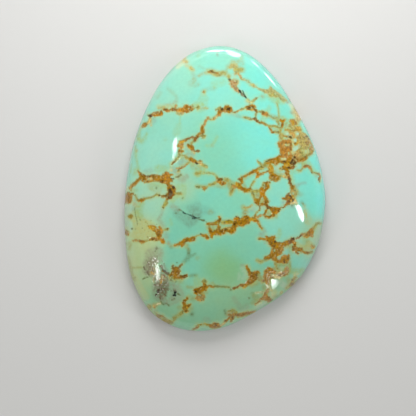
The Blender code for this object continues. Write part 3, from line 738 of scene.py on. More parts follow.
    ("rust", 0.8, [(263, 215, 0.8), (260, 215, 0.9), (257.4, 216.6, 0.9)]),
    ("ochre", 0.95, [(279.4, 207.6, 0.7), (282, 206.9, 0.6), (284.4, 205.6, 0.9), (286.4, 203.8, 0.9)]),
    ("brown", 1.0, [(286.6, 203.2, 1.1), (287.8, 201.4, 1.5), (288.2, 199.2, 1.5)]),
    ("ochre", 1.0, [(282.8, 198, 1.0), (285.2, 198.2, 1.2), (287.6, 197.4, 1.5)]),
    ("ochre", 1.0, [(287, 196.4, 1.8), (289.4, 198.6, 2.6), (289, 202, 1.4)]),
    ("gold", 1.0, [(291.6, 194.6, 0.9), (293, 197.4, 0.9), (291.4, 201.6, 0.7)]),
    ("brown", 0.9, [(287, 194.2, 0.8), (288.6, 193.2, 0.8)]),
    ("orange", 0.95, [(287.4, 196.6, 1.0), (288.8, 198.8, 1.0), (290.4, 200.8, 1.0), (289, 202.8, 0.8)]),
    ("tan", 0.9, [(293.4, 198.2, 1.1), (295, 201, 1.2), (292.8, 202.4, 0.8)]),
    ("khaki", 0.80, [(290.8, 193, 0.8), (291.4, 190.4, 1.0), (294.6, 190.6, 1.0), (295.2, 194, 1.2)]),
    # left of the web
    ("brown", 0.95, [(216.6, 178.2, 0.8), (218.8, 179, 1.2), (221.2, 178.8, 1.0)]),
    ("orange", 0.9, [(217.2, 180.8, 1.2), (220, 180.8, 1.1)]),
    ("ochre", 1.0, [(219.8, 182.6, 1.2), (222, 182.6, 1.9), (224.2, 182.4, 1.3)]),
    ("olive", 0.8, [(224.6, 178.8, 0.9), (227.6, 179.2, 0.9), (226, 181, 0.9)]),
    ("rust", 0.8, [(232, 185.4, 1.1), (234.4, 186.4, 1.3), (236.6, 186.2, 1.1)]),
    ("olive", 0.75, [(209, 184.6, 0.8), (212.4, 183.6, 1.0), (215.6, 181.4, 0.9)]),
    ("ochre", 0.85, [(202.2, 187, 0.9), (204, 188, 1.3), (206, 187, 0.8)]),
    ("fern", 0.75, [(196.8, 186.4, 1.0), (198.4, 186.8, 0.9)]),
    ("olive", 0.85, [(195, 173, 0.6), (196.8, 173, 0.9), (199.4, 172.6, 0.5)]),
    ("olive", 0.65, [(203, 172, 0.4), (207, 172.8, 0.5), (211, 173, 0.5), (214, 174.4, 0.5), (216.2, 176.8, 0.6)]),
    ("ochre", 0.8, [(231.6, 189, 0.9), (231.8, 191, 0.8)]),
    ("olive", 0.75, [(230.4, 190.6, 0.9), (230.2, 193.4, 0.9)]),
    # upper middle string of the left side
    ("orange", 1.0, [(216.8, 114.6, 0.9), (218.8, 113.8, 1.5)]),
    ("tan", 0.8, [(217.4, 115, 0.8), (215.4, 116.6, 1.0), (214, 117.6, 1.1)]),
    ("ochre", 1.0, [(213.2, 118.2, 1.3)]),
    ("olive", 0.8, [(213, 118.8, 0.8), (210, 118.8, 0.7), (208, 118.6, 1.0)]),
    ("rust", 0.85, [(207.4, 117.8, 1.1), (206, 120, 0.9), (204.4, 121.6, 0.9), (204, 123.8, 0.9), (203, 125, 0.9)]),
    ("ochre", 1.0, [(202.2, 126, 1.2), (201.6, 128, 1.6), (202.2, 130.4, 1.7), (201.6, 132.4, 1.5)]),
    ("ochre", 0.9, [(201.4, 132.6, 1.3), (198.6, 133.4, 1.0), (197, 135.6, 1.3)]),
    ("brown", 1.0, [(197, 135.8, 1.2), (195.4, 138.4, 1.4), (194, 140, 1.4)]),
    ("olive", 0.9, [(200, 134.6, 0.8), (202, 135.8, 1.4), (203.8, 135.8, 1.1)]),
    ("olive", 0.85, [(193.4, 140.8, 1.0), (191.6, 142, 0.9), (190.4, 143.8, 0.9)]),
    ("brown", 0.9, [(194, 136.8, 0.7), (192, 136.6, 0.8), (189.4, 137.6, 1.0), (186.6, 138.6, 0.9), (184, 140, 1.0)]),
    ("gold", 1.0, [(184, 140.2, 0.9), (182, 141.4, 1.2), (180, 141.8, 1.5)]),
    # biscuit and tan beside the upper-left highlight: partly the matrix's own tan, partly painted glint
    ("biscuit", 1.0, [(180.2, 142.4, 1.4), (181.4, 144, 1.5), (180, 146, 1.6)]),
    ("tan", 1.0, [(182.4, 146.6, 0.8), (180.4, 148.6, 0.7)]),
    ("orange", 0.9, [(178.4, 143.6, 1.0), (177.8, 145.6, 0.9), (180.6, 146.8, 1.2)]),
    ("ochre", 1.0, [(179.8, 149.2, 1.1), (179.6, 151, 1.6), (182.6, 150.6, 0.7)]),
    ("olive", 0.8, [(178.6, 152.4, 1.0), (178.6, 155, 1.0), (181.4, 154.6, 0.8)]),
    ("olive", 0.7, [(178, 156.6, 1.0), (176.4, 158.6, 1.1)]),
    ("brown", 0.9, [(175.6, 158.8, 0.8), (174.4, 160.6, 0.9), (172.6, 162.4, 0.8), (171.4, 163.8, 0.6)]),
    ("ochre", 1.0, [(187.6, 144.4, 0.9), (189.2, 145.6, 1.6), (190.8, 146.6, 2.1), (191.6, 148.4, 1.4)]),
    ("brown", 0.95, [(192, 149.4, 1.0), (194, 150.6, 0.9), (196.6, 150.8, 0.9), (198.6, 150.6, 0.6)]),
    ("tan", 0.6, [(193, 151, 1.0), (193.6, 152.8, 0.8)]),
    ("olive", 0.9, [(184.6, 155.8, 0.8), (186.6, 157.4, 1.1), (188.4, 158.2, 1.0)]),
    ("ochre", 1.0, [(188.6, 158.4, 1.1), (191, 159.2, 1.8), (193.6, 160.6, 1.5), (195.6, 162, 1.3)]),
    ("tan", 0.95, [(197.4, 161.8, 1.0), (199.4, 162.2, 1.3), (200.8, 163.4, 1.4)]),
    ("rust", 0.8, [(198.6, 160.8, 0.8), (201, 160.8, 0.8)]),
    ("olive", 0.85, [(201.6, 164.2, 0.9), (203.6, 165.4, 0.9), (205.6, 166.2, 1.1)]),
    ("rust", 0.95, [(177, 167.8, 0.6), (179.4, 168, 0.8), (182, 167, 0.8), (184.6, 165.4, 0.7), (187, 163.4, 0.5)]),
    ("olive", 0.75, [(187, 163.2, 0.8), (189, 161.8, 0.9)]),
    ("olive", 0.8, [(177.2, 170.8, 0.7), (178.4, 170.4, 0.9)]),
    ("fern", 0.7, [(180.2, 174.8, 0.8), (177.6, 176.2, 0.7), (175, 177, 0.6)]),
    # left seam
    ("ochre", 1.0, [(137.6, 170.8, 0.7), (138.6, 172.2, 0.9), (140.2, 174.2, 1.2)]),
    ("ochre", 1.0, [(139.8, 175, 1.3), (142, 176.8, 2.4), (144.2, 178.6, 1.8)]),
    ("ochre", 0.95, [(139.4, 178.4, 1.6), (137, 180.6, 1.4), (134.2, 183.2, 1.6), (131.4, 185.6, 1.4)]),
    ("orange", 0.9, [(134.4, 183, 1.0), (131, 186, 1.2), (128.8, 188.4, 0.8)]),
    ("brown", 1.0, [(142.2, 174.6, 0.9), (145, 176, 0.8), (148.4, 176.2, 1.0), (151.6, 175.4, 0.9)]),
    ("tan", 0.95, [(146.4, 178.2, 1.3), (149.4, 178.4, 1.4), (151.6, 177.8, 1.0)]),
    ("ochre", 0.95, [(142, 180.2, 1.0), (144.2, 181.8, 0.7), (147, 181, 1.0), (150, 180.8, 0.9), (153, 180, 0.9)]),
    ("ochre", 1.0, [(152.6, 175.4, 1.0), (155.2, 177.6, 2.5), (158.4, 177.8, 2.2), (161, 177.2, 2.1)]),
    ("ochre", 0.9, [(153.8, 175, 0.9), (157.6, 175.6, 0.8), (160.4, 175.6, 0.7)]),
    ("orange", 1.0, [(161.6, 177.6, 2.0), (164.6, 176.6, 2.8), (167, 176.4, 2.6)]),
    ("rust", 1.0, [(164, 174.2, 1.3), (166.4, 173.2, 1.7), (168, 174.8, 1.5)]),
    ("ochre", 0.95, [(168.6, 174.6, 1.0), (171.6, 174.4, 0.8)]),
    ("brown", 1.0, [(159.6, 179.6, 1.2), (162, 181.2, 1.4)]),
    ("orange", 1.0, [(163.4, 180.2, 1.7), (165.6, 181.4, 1.5), (168, 179.8, 1.8), (170.4, 179, 1.2)]),
    ("ochre", 0.9, [(170.8, 178.8, 0.9), (171.8, 180.6, 0.7)]),
    ("ochre", 1.0, [(167.2, 182.4, 1.3), (168.4, 185, 1.7), (168.8, 188, 1.8)]),
    ("orange", 0.9, [(167.6, 186, 0.9), (167, 189.4, 0.8)]),
    ("ochre", 1.0, [(171, 186, 1.3), (172.6, 188.6, 2.0), (173, 191.4, 1.9)]),
    ("brown", 1.0, [(169.6, 190.6, 2.6), (170.6, 193, 3.0), (169.4, 195.6, 2.6)]),
    ("ochre", 0.9, [(166.4, 194.6, 1.3), (165.4, 196, 1.2)]),
    ("brown", 1.0, [(168.6, 197.4, 1.5), (166.6, 198.8, 1.1)]),
    ("olive", 0.95, [(166.2, 200, 0.9), (165.4, 202.6, 1.4), (164, 204.8, 1.1), (162.8, 206.8, 0.7)]),
    ("olive", 0.9, [(174.6, 193, 1.0), (177, 193.4, 0.9), (180.2, 193.3, 1.1)]),
    ("ochre", 0.95, [(165, 195.4, 1.2), (162.4, 196, 1.0), (160.4, 195.6, 0.9)]),
    ("brown", 1.0, [(158.8, 194.9, 1.0)]),
    ("olive", 0.9, [(158, 194.6, 0.7), (155.6, 194.4, 0.8), (153, 195.8, 0.6)]),
    ("olive", 0.85, [(153, 195.8, 0.6), (150.6, 197, 0.7), (147, 197.8, 0.9), (144.4, 197.6, 0.7)]),
    ("ochre", 1.0, [(143.6, 197.8, 0.8), (142, 199.4, 1.4), (139.6, 200.4, 1.2), (137.6, 199.8, 0.8)]),
    ("olive", 0.85, [(137.6, 199.4, 0.7), (136, 197.6, 0.7), (134.6, 195, 0.7)]),
    ("ochre", 1.0, [(127.8, 192.6, 1.2), (128.4, 195, 2.0), (128.4, 198, 2.5), (127.8, 200.8, 2.0)]),
    ("ochre", 0.95, [(129.4, 194.4, 1.4), (131.8, 193.6, 1.3)]),
    ("ochre", 1.0, [(127.2, 194, 1.6), (128.2, 197, 2.9), (128, 200.4, 2.5)]), ("orange", 0.8, [(128.6, 196, 1.4), (128.8, 199.6, 1.4)]), ("umber", 0.6, [(129.8, 193.4, 0.5)]), ("umber", 0.6, [(126.8, 202.4, 0.7)]),
    ("olive", 0.7, [(130.4, 190, 0.8), (131.4, 187, 0.9)]),
    ("mustard", 1.0, [(130, 216, 1.9)]),
    # lower left
    ("olive", 0.8, [(124.8, 228.6, 0.9), (125.6, 231, 1.0)]),
    ("ochre", 0.9, [(125.8, 231.4, 1.3), (126.6, 233.8, 1.3), (127.6, 231.8, 0.9)]),
    ("gold", 1.0, [(148, 226, 1.0), (150.4, 226.6, 1.9), (152.6, 227.6, 2.4), (154.6, 228.6, 1.9)]),
    ("ochre", 1.0, [(155, 229, 1.6), (157.4, 231.4, 2.0)]),
    ("ochre", 1.0, [(155.4, 229.6, 1.5), (157.4, 232.4, 1.9), (158.6, 235.4, 2.1), (158.2, 238, 1.9)]),
    ("orange", 0.9, [(159, 227, 1.0), (160.4, 229.4, 1.5), (160.8, 232.4, 1.1)]),
    ("olive", 0.85, [(161.6, 228.8, 0.7), (164, 229, 0.6), (167, 228.6, 1.1)]),
    ("orange", 1.0, [(160, 238.4, 1.4), (162.2, 240.6, 1.7), (163.2, 242, 1.1)]),
    ("ochre", 1.0, [(157, 239, 1.3), (154.4, 238.8, 1.5), (151.8, 238.4, 1.5), (149.2, 239.2, 1.0)]),
    ("olive", 0.9, [(149.2, 239.2, 0.8), (146.4, 240, 0.6), (144, 240.8, 0.7)]),
    ("orange", 0.95, [(143.6, 241, 0.9), (141.6, 241.4, 1.3), (139.6, 240.8, 0.9)]),
    ("rust", 0.8, [(139.6, 240.4, 0.7), (136, 240, 0.8), (132.6, 240.2, 0.7)]),
    ("ochre", 0.95, [(174.4, 244.2, 0.9), (176.8, 244.4, 1.1), (179.4, 243.4, 1.3)]),
    ("ochre", 1.0, [(179.6, 243, 1.3), (181.8, 243.8, 2.0), (182.6, 241.6, 1.8), (184.2, 240, 1.5)]),
    ("ochre", 1.0, [(184, 240, 1.5), (186.6, 239.2, 1.5), (190, 239.3, 1.8), (193, 238.4, 1.9)]),
    ("olive", 0.85, [(194.6, 236.4, 0.6), (197, 235.4, 0.5), (199, 234.6, 0.4)]),
    ("ochre", 0.85, [(200.8, 234.2, 0.6), (203, 234.8, 0.8)]),
    ("ochre", 1.0, [(203, 235, 1.0), (205, 235.4, 1.1), (207.2, 237.2, 1.4)]),
    # the broad band of the lower middle
    ("ochre", 0.95, [(206.6, 223.8, 0.9), (209, 223.2, 1.2), (212.6, 223.6, 1.4), (215.4, 222.4, 1.5)]),
    ("ochre", 1.0, [(215.4, 222.2, 1.4), (217.8, 220.8, 1.5), (219.4, 218.8, 1.2), (218.8, 216.6, 0.9)]),
    ("ochre", 0.95, [(217.8, 224.2, 1.0), (218.8, 227, 1.0), (217, 229.6, 1.8)]),
    ("ochre", 1.0, [(209.6, 228.8, 1.0), (210.2, 231, 1.7), (211.6, 233.2, 1.8), (211.2, 236.2, 1.1)]),
    ("ochre", 1.0, [(212.6, 232.8, 2.0), (216, 232, 2.6), (220, 232, 2.5), (223.6, 230.8, 2.2)]),
    ("ochre", 1.0, [(223.6, 230.4, 2.0), (226.4, 229.4, 1.7), (229.4, 230.2, 1.6), (232, 230, 2.0)]),
    ("tan", 0.9, [(226.8, 227.6, 1.0), (229.4, 228, 1.2)]),
    ("ochre", 1.0, [(230.4, 228.4, 1.6), (233, 227.4, 2.2), (234.8, 224.4, 2.4), (236.2, 221.4, 2.6)]),
    ("ochre", 1.0, [(231, 231.8, 1.4), (234, 229.4, 1.4)]),
    ("orange", 1.0, [(234.8, 219.4, 1.4), (236.4, 217.6, 1.6), (238, 219.4, 1.8)]),
    ("ochre", 1.0, [(237.6, 222, 2.6), (241, 222.6, 2.7), (244.4, 221.2, 2.8), (247.2, 219.4, 2.8)]),
    ("ochre", 1.0, [(242.8, 218.2, 1.8), (246.4, 216.8, 1.6), (248.4, 217.8, 1.2)]),
    ("brown", 0.9, [(245, 223, 1.1), (247.8, 221.8, 1.2)]),
    ("gold", 1.0, [(249, 219.6, 1.5), (251.6, 218.8, 1.7), (254, 219.2, 1.7)]),
    ("orange", 1.0, [(253.6, 220.4, 1.2), (256, 220.2, 1.4), (257.6, 221.8, 1.1)]),
    ("orange", 0.9, [(255.4, 217.6, 1.1), (254.6, 215.4, 0.9), (255.2, 213.8, 0.7)]),
    ("ochre", 0.9, [(257.6, 221.8, 1.0), (258.2, 224, 0.8), (259.6, 226, 0.7), (261.6, 228, 0.8)]),
    ("gold", 0.8, [(225, 222.4, 1.1), (228.4, 221.6, 1.8), (231.6, 222.6, 1.2)]),
    ("olive", 0.9, [(221.4, 221.6, 1.1), (224.4, 221.8, 1.2)]),
    ("khaki", 0.85, [(243.6, 207, 0.5), (246.6, 207.2, 0.8), (249, 206.4, 0.5), (251.6, 204.6, 0.4)]),
    ("rust", 0.7, [(245.6, 207.2, 0.5), (247.6, 207, 0.4)]),
    # lower right
    ("ochre", 0.9, [(258.8, 238.2, 0.9), (262, 238.2, 1.0), (265.4, 238.6, 0.8)]),
    ("ochre", 1.0, [(266.2, 236.6, 1.1), (267.8, 238.8, 2.0), (271.2, 238, 1.9), (274, 236.8, 1.1)]),
    ("orange", 1.0, [(271.4, 240, 1.7), (273.4, 240.8, 1.4)]),
    ("ochre", 1.0, [(268.6, 241.2, 1.5), (271, 243.4, 2.1), (273.8, 245.4, 2.4)]),
    ("ochre", 1.0, [(273.8, 246, 2.4), (277.4, 245.2, 3.0), (281, 245.2, 2.6)]),
    ("ochre", 1.0, [(281, 244.6, 2.0), (284.6, 243.8, 1.9), (288, 241.8, 1.8)]),
    ("brown", 1.0, [(287.6, 242.4, 1.6), (290.4, 240.8, 2.0), (292.6, 239.4, 2.2)]),
    ("ochre", 0.95, [(285, 241.2, 0.8), (288, 240, 0.9)]),
    ("orange", 1.0, [(292.6, 241.4, 1.6), (294.4, 242.6, 1.3)]),
    ("ochre", 1.0, [(294.2, 243.4, 1.1), (293.8, 246, 1.3), (293.6, 248.8, 1.7)]),
    ("ochre", 1.0, [(293.8, 249.4, 1.8), (297, 249, 1.8), (300.4, 249.2, 1.6)]),
    ("ochre", 0.95, [(295.8, 251.6, 1.2), (297.2, 252.6, 1.2)]),
    ("ochre", 0.95, [(300.6, 250.2, 1.2), (303.6, 251.6, 1.0), (306.6, 252.4, 1.2), (309.4, 252, 0.9)]),
    ("olive", 0.85, [(309.4, 252, 0.8), (311.6, 251.2, 0.9)]),
    ("brown", 0.85, [(294.8, 238.4, 0.5), (297.6, 237.2, 0.5), (300, 235.6, 0.8), (302, 234, 1.0)]),
    ("rust", 0.9, [(301.6, 233.8, 0.9), (303.8, 234, 1.3)]),
    ("gold", 0.9, [(304, 235.8, 1.4), (306.4, 235.2, 1.8)]),
    ("orange", 1.0, [(306.6, 234.4, 1.8), (309, 233.2, 2.3), (311, 231.6, 1.8)]),
    ("orange", 0.9, [(310, 230.8, 1.4), (312.6, 228.4, 1.1), (311.2, 235.4, 1.1)]),
    ("olive", 0.85, [(312.8, 228.2, 1.0), (314.6, 225.8, 1.1), (316.6, 223.4, 1.0), (318, 222, 0.7)]),
    ("olive", 0.6, [(317.6, 222.8, 0.9), (320.4, 223.2, 0.9)]),
    ("gold", 0.9, [(312.6, 246.6, 1.6), (311, 245.2, 0.9)]),
    ("ochre", 1.0, [(280.2, 248, 1.9), (278.8, 250.6, 1.9), (275.6, 252.6, 2.4)]),
    ("ochre", 1.0, [(275.6, 252.8, 2.4), (272.6, 254, 2.4), (270.4, 255.4, 1.9)]),
    ("orange", 0.9, [(271.8, 251.4, 1.4), (272.4, 248.6, 1.2)]),
    ("ochre", 1.0, [(269.4, 256.4, 1.7), (267.2, 257.6, 1.8), (264.6, 258.4, 1.2)]),
    ("ochre", 0.95, [(271, 257, 1.4), (274, 258.4, 1.6), (277.4, 260.4, 1.7)]),
    ("ochre", 1.0, [(277.4, 260.6, 1.6), (280.8, 259.8, 2.0), (283.8, 258.8, 2.1), (286.8, 258.4, 2.0)]),
    ("orange", 0.9, [(282.6, 256.4, 1.4), (286, 256.6, 1.4), (282.4, 262, 1.0)]),
    ("olive", 0.65, [(256.4, 259.8, 0.6), (259.6, 261.4, 0.9), (262.6, 260.4, 0.9)]),
    ("olive", 0.75, [(274.8, 262.6, 0.9), (275.6, 266, 0.9), (277, 269, 0.9)]),
    ("ochre", 0.9, [(285.4, 268.6, 1.4), (286.6, 267.4, 1.2), (287.2, 270, 1.0)]),
    ("ochre", 1.0, [(286.2, 271.6, 1.4), (284.6, 273.6, 1.6), (281.6, 274.6, 1.3), (278.6, 274.8, 1.2)]),
    ("tan", 0.9, [(280.4, 272.4, 0.9), (277.8, 273.2, 1.0), (276, 275.6, 0.9)]),
    ("tan", 0.9, [(274.4, 276.6, 0.9), (277.6, 276.4, 1.0), (281, 276.2, 0.8)]),
    ("ochre", 1.0, [(264.6, 272, 1.1), (266, 270.2, 1.5), (268.8, 268.8, 1.6), (271.6, 269.4, 1.0)]),
    ("ochre", 1.0, [(266.4, 271.6, 1.7), (268.6, 272.4, 1.6), (271, 272.6, 1.2)]),
    ("brown", 1.0, [(264.6, 274, 0.9), (265.6, 276.4, 1.2), (264.6, 278.8, 1.0)]),
    ("rust", 0.95, [(268.4, 275, 1.7), (268, 278, 1.4), (269.4, 277, 1.2)]),
    ("ochre", 0.95, [(264, 280, 1.1), (262.6, 280.4, 0.9), (266.4, 280.8, 1.3)]),
    # cream and tan grains round the lower-right highlight: painted sparkle highlights and glow
    ("cream", 1.0, [(270.6, 273.8, 0.6)]), ("cream", 1.0, [(273.6, 275.4, 0.5)]), ("cream", 1.0, [(277, 277, 0.6), (279.6, 276.8, 0.4)]),
    ("cream", 1.0, [(269, 285.4, 0.7), (270, 288, 0.5)]), ("tan", 1.0, [(271.4, 290, 0.4)]), ("cream", 1.0, [(271.6, 275, 0.5), (275, 276.4, 0.6), (279.4, 277.6, 0.5)]), ("tan", 0.95, [(267.6, 279, 0.5)]), ("tan", 0.95, [(268.8, 283, 0.6)]),
    ("tan", 0.95, [(284, 274.6, 0.5)]), ("cream", 0.95, [(294.8, 275, 0.8)]),
    ("ochre", 0.95, [(266.4, 282, 1.0), (267.8, 283.2, 1.1), (268.6, 281, 0.9)]),
    ("brown", 0.9, [(271.8, 276.8, 0.8), (273.2, 277, 0.8)]),
    ("ochre", 0.9, [(268.4, 288.8, 0.8), (267, 290.8, 1.1), (265, 292.6, 1.4), (264.8, 295, 1.6)]),
    ("ochre", 1.0, [(264.4, 296.4, 1.8), (264.8, 298.2, 1.9), (267.4, 297.2, 1.7)]),
    ("ochre", 0.95, [(268, 298.2, 1.4), (268.4, 300.6, 1.4), (270, 301.4, 1.0)]),
    ("umber", 0.8, [(270.6, 301, 0.7), (272, 300.2, 0.9)]),
    ("ochre", 0.9, [(263, 298, 1.1), (260.8, 298.6, 1.1), (258.6, 300.8, 1.1)]),
    ("hazel", 0.85, [(258.6, 301.4, 0.6), (256.4, 302.8, 0.6), (254.8, 303.8, 0.5)]),
    ("olive", 0.75, [(294.6, 276, 0.8), (293.4, 278, 1.0), (292, 279.6, 0.9), (291.4, 281.6, 0.8)]),
    ("brown", 0.85, [(291.2, 283.4, 1.1), (290.4, 285.4, 0.9)]),
    ("olive", 0.85, [(281.2, 292.4, 1.1), (281.6, 294.6, 0.8)]),
    ("olive", 0.60, [(261.6, 291.4, 0.6), (258.4, 292, 0.5), (255.6, 292.4, 0.3)]),
    ("ochre", 1.0, [(271, 240.6, 2.6), (275, 245.6, 3.4), (277, 251, 3.4), (274.4, 255.4, 2.6)]),
    ("rust", 0.90, [(280.6, 247.4, 2.4), (279.4, 252.4, 1.8)]),
    ("ochre", 1.0, [(277.6, 260.2, 2.0), (283.6, 259.2, 2.8), (287, 257.6, 2.0)]),
    ("ochre", 0.95, [(288, 255.4, 1.2), (286.4, 262.6, 1.0)]),
    ("ochre", 1.0, [(266, 272.6, 2.0), (265.8, 277.4, 2.4), (266.2, 281.2, 1.3)]),
    ("orange", 1.0, [(269.6, 270.6, 1.9), (274.4, 271.8, 1.7)]),
    ("rust", 0.7, [(295.4, 277.4, 0.8), (293, 279.8, 0.9), (291, 282.6, 1.0), (289.2, 285.2, 0.8)]),
    ("rust", 0.9, [(277.4, 273.6, 1.0), (282.6, 272.8, 1.3), (287, 269.4, 1.0)]),
    ("ochre", 0.8, [(295.4, 275.6, 0.5), (293.6, 278.4, 0.5)]), ("gold", 0.9, [(292, 281, 0.5), (290.6, 283, 0.5)]), ("olive", 0.8, [(289.4, 284.6, 0.6), (286.4, 287.6, 0.6)]),
    ("hazel", 0.8, [(266.8, 290.6, 1.3)]), ("orange", 1.0, [(265, 295.6, 2.0), (266.4, 298, 2.0)]), ("ochre", 1.0, [(269, 299.8, 2.0)]),
    ("ochre", 0.9, [(265, 295.4, 1.2), (266.4, 299, 1.2)]),
    ("hazel", 0.8, [(228.6, 314.6, 1.3), (232.6, 315.4, 1.2)]), ("ochre", 1.0, [(233.4, 313.4, 1.1), (237, 315, 1.5), (243, 314, 1.7), (247, 313.4, 1.1), (251, 312.4, 1.3), (255, 311.4, 0.7)]),
    # cream at the top end of the right highlight: painted sparkle highlights
    ("cream", 0.9, [(291.2, 202.4, 0.7)]), ("cream", 0.9, [(295.6, 203, 0.9)]),
    ("russet", 0.70, [(305.6, 235, 1.2), (309.4, 233.2, 2.0), (311.6, 235.6, 1.0)]),
    # lower middle
    ("ochre", 1.0, [(246.6, 265.8, 0.8), (247.2, 268.4, 1.2), (248, 271, 1.3)]),
    ("ochre", 1.0, [(248.4, 271.6, 1.3), (250.2, 273.8, 2.0), (252.2, 275.6, 2.5)]),
    ("ochre", 1.0, [(252.6, 274, 1.8), (255.2, 272.4, 1.8), (257.6, 272, 1.4)]),
    ("ochre", 1.0, [(252, 277, 2.4), (250.6, 279.4, 2.3), (248.4, 281.8, 1.9)]),
    ("hazel", 0.9, [(253.6, 279, 1.6), (256.2, 277.2, 1.0), (251.4, 280.8, 1.4)]),
    ("ochre", 1.0, [(247.6, 282.6, 1.8), (245.4, 284.4, 1.4), (242.6, 285.4, 1.5), (240.4, 285, 1.1)]),
    ("gold", 0.9, [(243, 286.6, 1.0), (245.4, 285.8, 0.9)]),
    ("brown", 0.9, [(240.4, 285.4, 0.9), (237.4, 286.4, 0.9), (234.6, 287.4, 0.9), (232.2, 288.4, 0.9)]),
    ("olive", 0.85, [(202.2, 281.4, 1.0), (203.6, 280.8, 1.5), (205.4, 281.8, 1.0)]),
    ("ochre", 0.95, [(203.8, 283.2, 1.3), (204.2, 285.4, 1.6), (205.8, 287, 1.6)]),
    ("gold", 1.0, [(207.2, 286.6, 0.9), (204.6, 288, 1.3), (201.6, 287.6, 1.4)]),
    ("ochre", 1.0, [(201.4, 288.2, 1.6), (198.8, 289.4, 2.0), (196, 290, 2.2)]),
    ("ochre", 1.0, [(195, 289.2, 1.4), (195.2, 291.6, 1.8), (198, 292, 1.8), (200.6, 291.2, 1.5)]),
    ("olive", 0.8, [(201.8, 292.2, 1.4), (202.6, 294.4, 1.2)]),
    ("ochre", 0.9, [(208.8, 285.2, 0.9), (210.6, 286.2, 1.1), (212.4, 286.8, 1.0)]),
    ("fern", 0.62, [(214.6, 285.8, 0.7), (219, 286, 0.5), (224, 286.2, 0.5), (229, 287, 0.4)]),
    ("hazel", 1.0, [(195.6, 290.8, 2.4), (199.4, 289.8, 2.4), (203.6, 287.8, 2.4)]),
    ("rust", 0.75, [(197.4, 297.6, 2.0), (201, 298, 2.4), (202.6, 295, 1.6)]),
    ("hazel", 1.0, [(253.8, 274.6, 3.0), (252, 278.4, 3.2), (249.2, 281.4, 2.4)]),
    ("hazel", 0.9, [(252.4, 273, 1.4), (250.4, 277, 1.2)]),
    ("olive", 0.6, [(259, 261, 1.0), (263, 260.2, 1.1), (266.4, 259, 1.2)]),
    # the orange patch by the grey cloud
    ("hazel", 1.0, [(173, 269.6, 1.6), (175.4, 268.6, 2.4), (177.4, 270, 2.2)]), ("mustard", 0.8, [(171, 276.4, 0.8), (173.4, 278.4, 1.0)]), ("mustard", 0.7, [(169, 277.6, 0.6)]),
    ("hazel", 1.0, [(174, 271.6, 2.6), (176.4, 272, 2.8), (175, 274.4, 2.7)]),
    ("ochre", 1.0, [(171.2, 273.6, 1.4), (169.2, 274.8, 1.1)]),
    ("hazel", 1.0, [(174.8, 276.4, 1.9), (178.2, 276.6, 1.9), (181, 276.8, 1.6)]),
    ("brown", 1.0, [(181, 276.6, 1.4), (183.6, 276.2, 1.3), (185.6, 275.2, 1.2)]),
    ("brown", 0.85, [(178.4, 267.4, 0.9), (179.6, 265.6, 0.8), (181.6, 263.6, 0.8)]),
    ("brown", 0.85, [(172, 266.4, 0.9), (172.6, 265.4, 0.8)]),
    # bottom left
    ("ochre", 0.95, [(187, 297.6, 0.9), (185.6, 299.2, 1.0), (184.4, 300.4, 1.2)]),
    ("ochre", 1.0, [(184, 300.8, 1.5), (183.6, 303, 1.6), (184.6, 305.6, 1.4)]),
    ("gold", 0.95, [(184.6, 305, 1.0), (185.8, 308, 1.4), (186.2, 311, 1.2)]),
    ("ochre", 1.0, [(183.4, 306.8, 0.9), (185.4, 305.8, 0.9), (187.4, 305.4, 1.4), (189.4, 304.6, 1.0)]),
    ("ochre", 0.95, [(182.6, 307.6, 0.9), (184, 309.4, 1.0), (185.2, 310.8, 1.2), (187, 310.8, 0.8)]),
    ("olive", 0.85, [(182, 311.2, 1.0), (180.4, 313.2, 1.2), (178.6, 314.6, 0.8)]),
    ("olive", 0.8, [(175.6, 316.6, 0.9), (173.8, 317.4, 1.0)]),
    ("olive", 0.85, [(149.6, 306.4, 1.1), (148.6, 305, 0.7)]),
    ("tan", 0.9, [(153, 305.6, 0.9), (155.4, 305.4, 0.7)]), ("cream", 0.95, [(156.4, 303.8, 0.5), (159.6, 302.8, 0.5)]), ("rust", 0.9, [(154.4, 306.8, 0.6)]),
    ("olive", 0.7, [(149, 310, 0.7), (152, 313.4, 0.7)]),
    ("hazel", 0.85, [(155.6, 313.8, 0.4), (158.4, 315, 0.7), (161, 316.4, 1.0)]), ("mustard", 0.8, [(162.6, 318.2, 0.7)]),
    ("mustard", 0.90, [(163.6, 319, 0.9), (166.4, 320.6, 1.5), (169.6, 322, 1.7)]), ("hazel", 0.9, [(161.6, 315.2, 0.4), (164.4, 317.4, 0.6)]), ("bark", 0.9, [(166, 319.4, 0.7)]), ("mustard", 0.6, [(172, 321, 0.6), (175, 319.4, 0.4)]),
    ("olive", 0.7, [(167.4, 321, 0.8), (170, 322.4, 0.9), (172, 321.8, 0.7)]),
    # bottom
    ("hazel", 0.95, [(193.8, 328.6, 0.8), (196, 327.4, 1.3), (197.4, 325.8, 0.9)]),
    ("mustard", 0.95, [(197.8, 324.8, 0.7), (201, 324, 0.6), (205, 324, 0.6), (208.6, 324.4, 0.8)]),
    ("ochre", 1.0, [(209.4, 325, 1.0), (212.2, 326, 2.0), (215.2, 325.4, 2.8), (218.8, 326, 1.5)]), ("bark", 0.8, [(212.6, 324.8, 1.0), (215, 326.4, 1.0)]),
    ("hazel", 0.9, [(213.6, 323.4, 1.0), (215.4, 322.9, 1.0)]),
    ("tan", 0.75, [(219.6, 325.4, 0.9), (222, 324.2, 0.8), (224, 322.4, 0.7)]),
    ("ochre", 0.95, [(224, 321.8, 0.8), (225.4, 320.4, 1.1), (227, 319.2, 0.7)]),
    ("ochre", 0.95, [(230.4, 320.6, 0.8), (231, 318.4, 1.1), (232.2, 316.8, 1.4), (232, 314.6, 0.9)]),
    ("olive", 0.75, [(228.4, 311.4, 1.0), (231.6, 310.8, 1.6), (235, 312, 1.4)]),
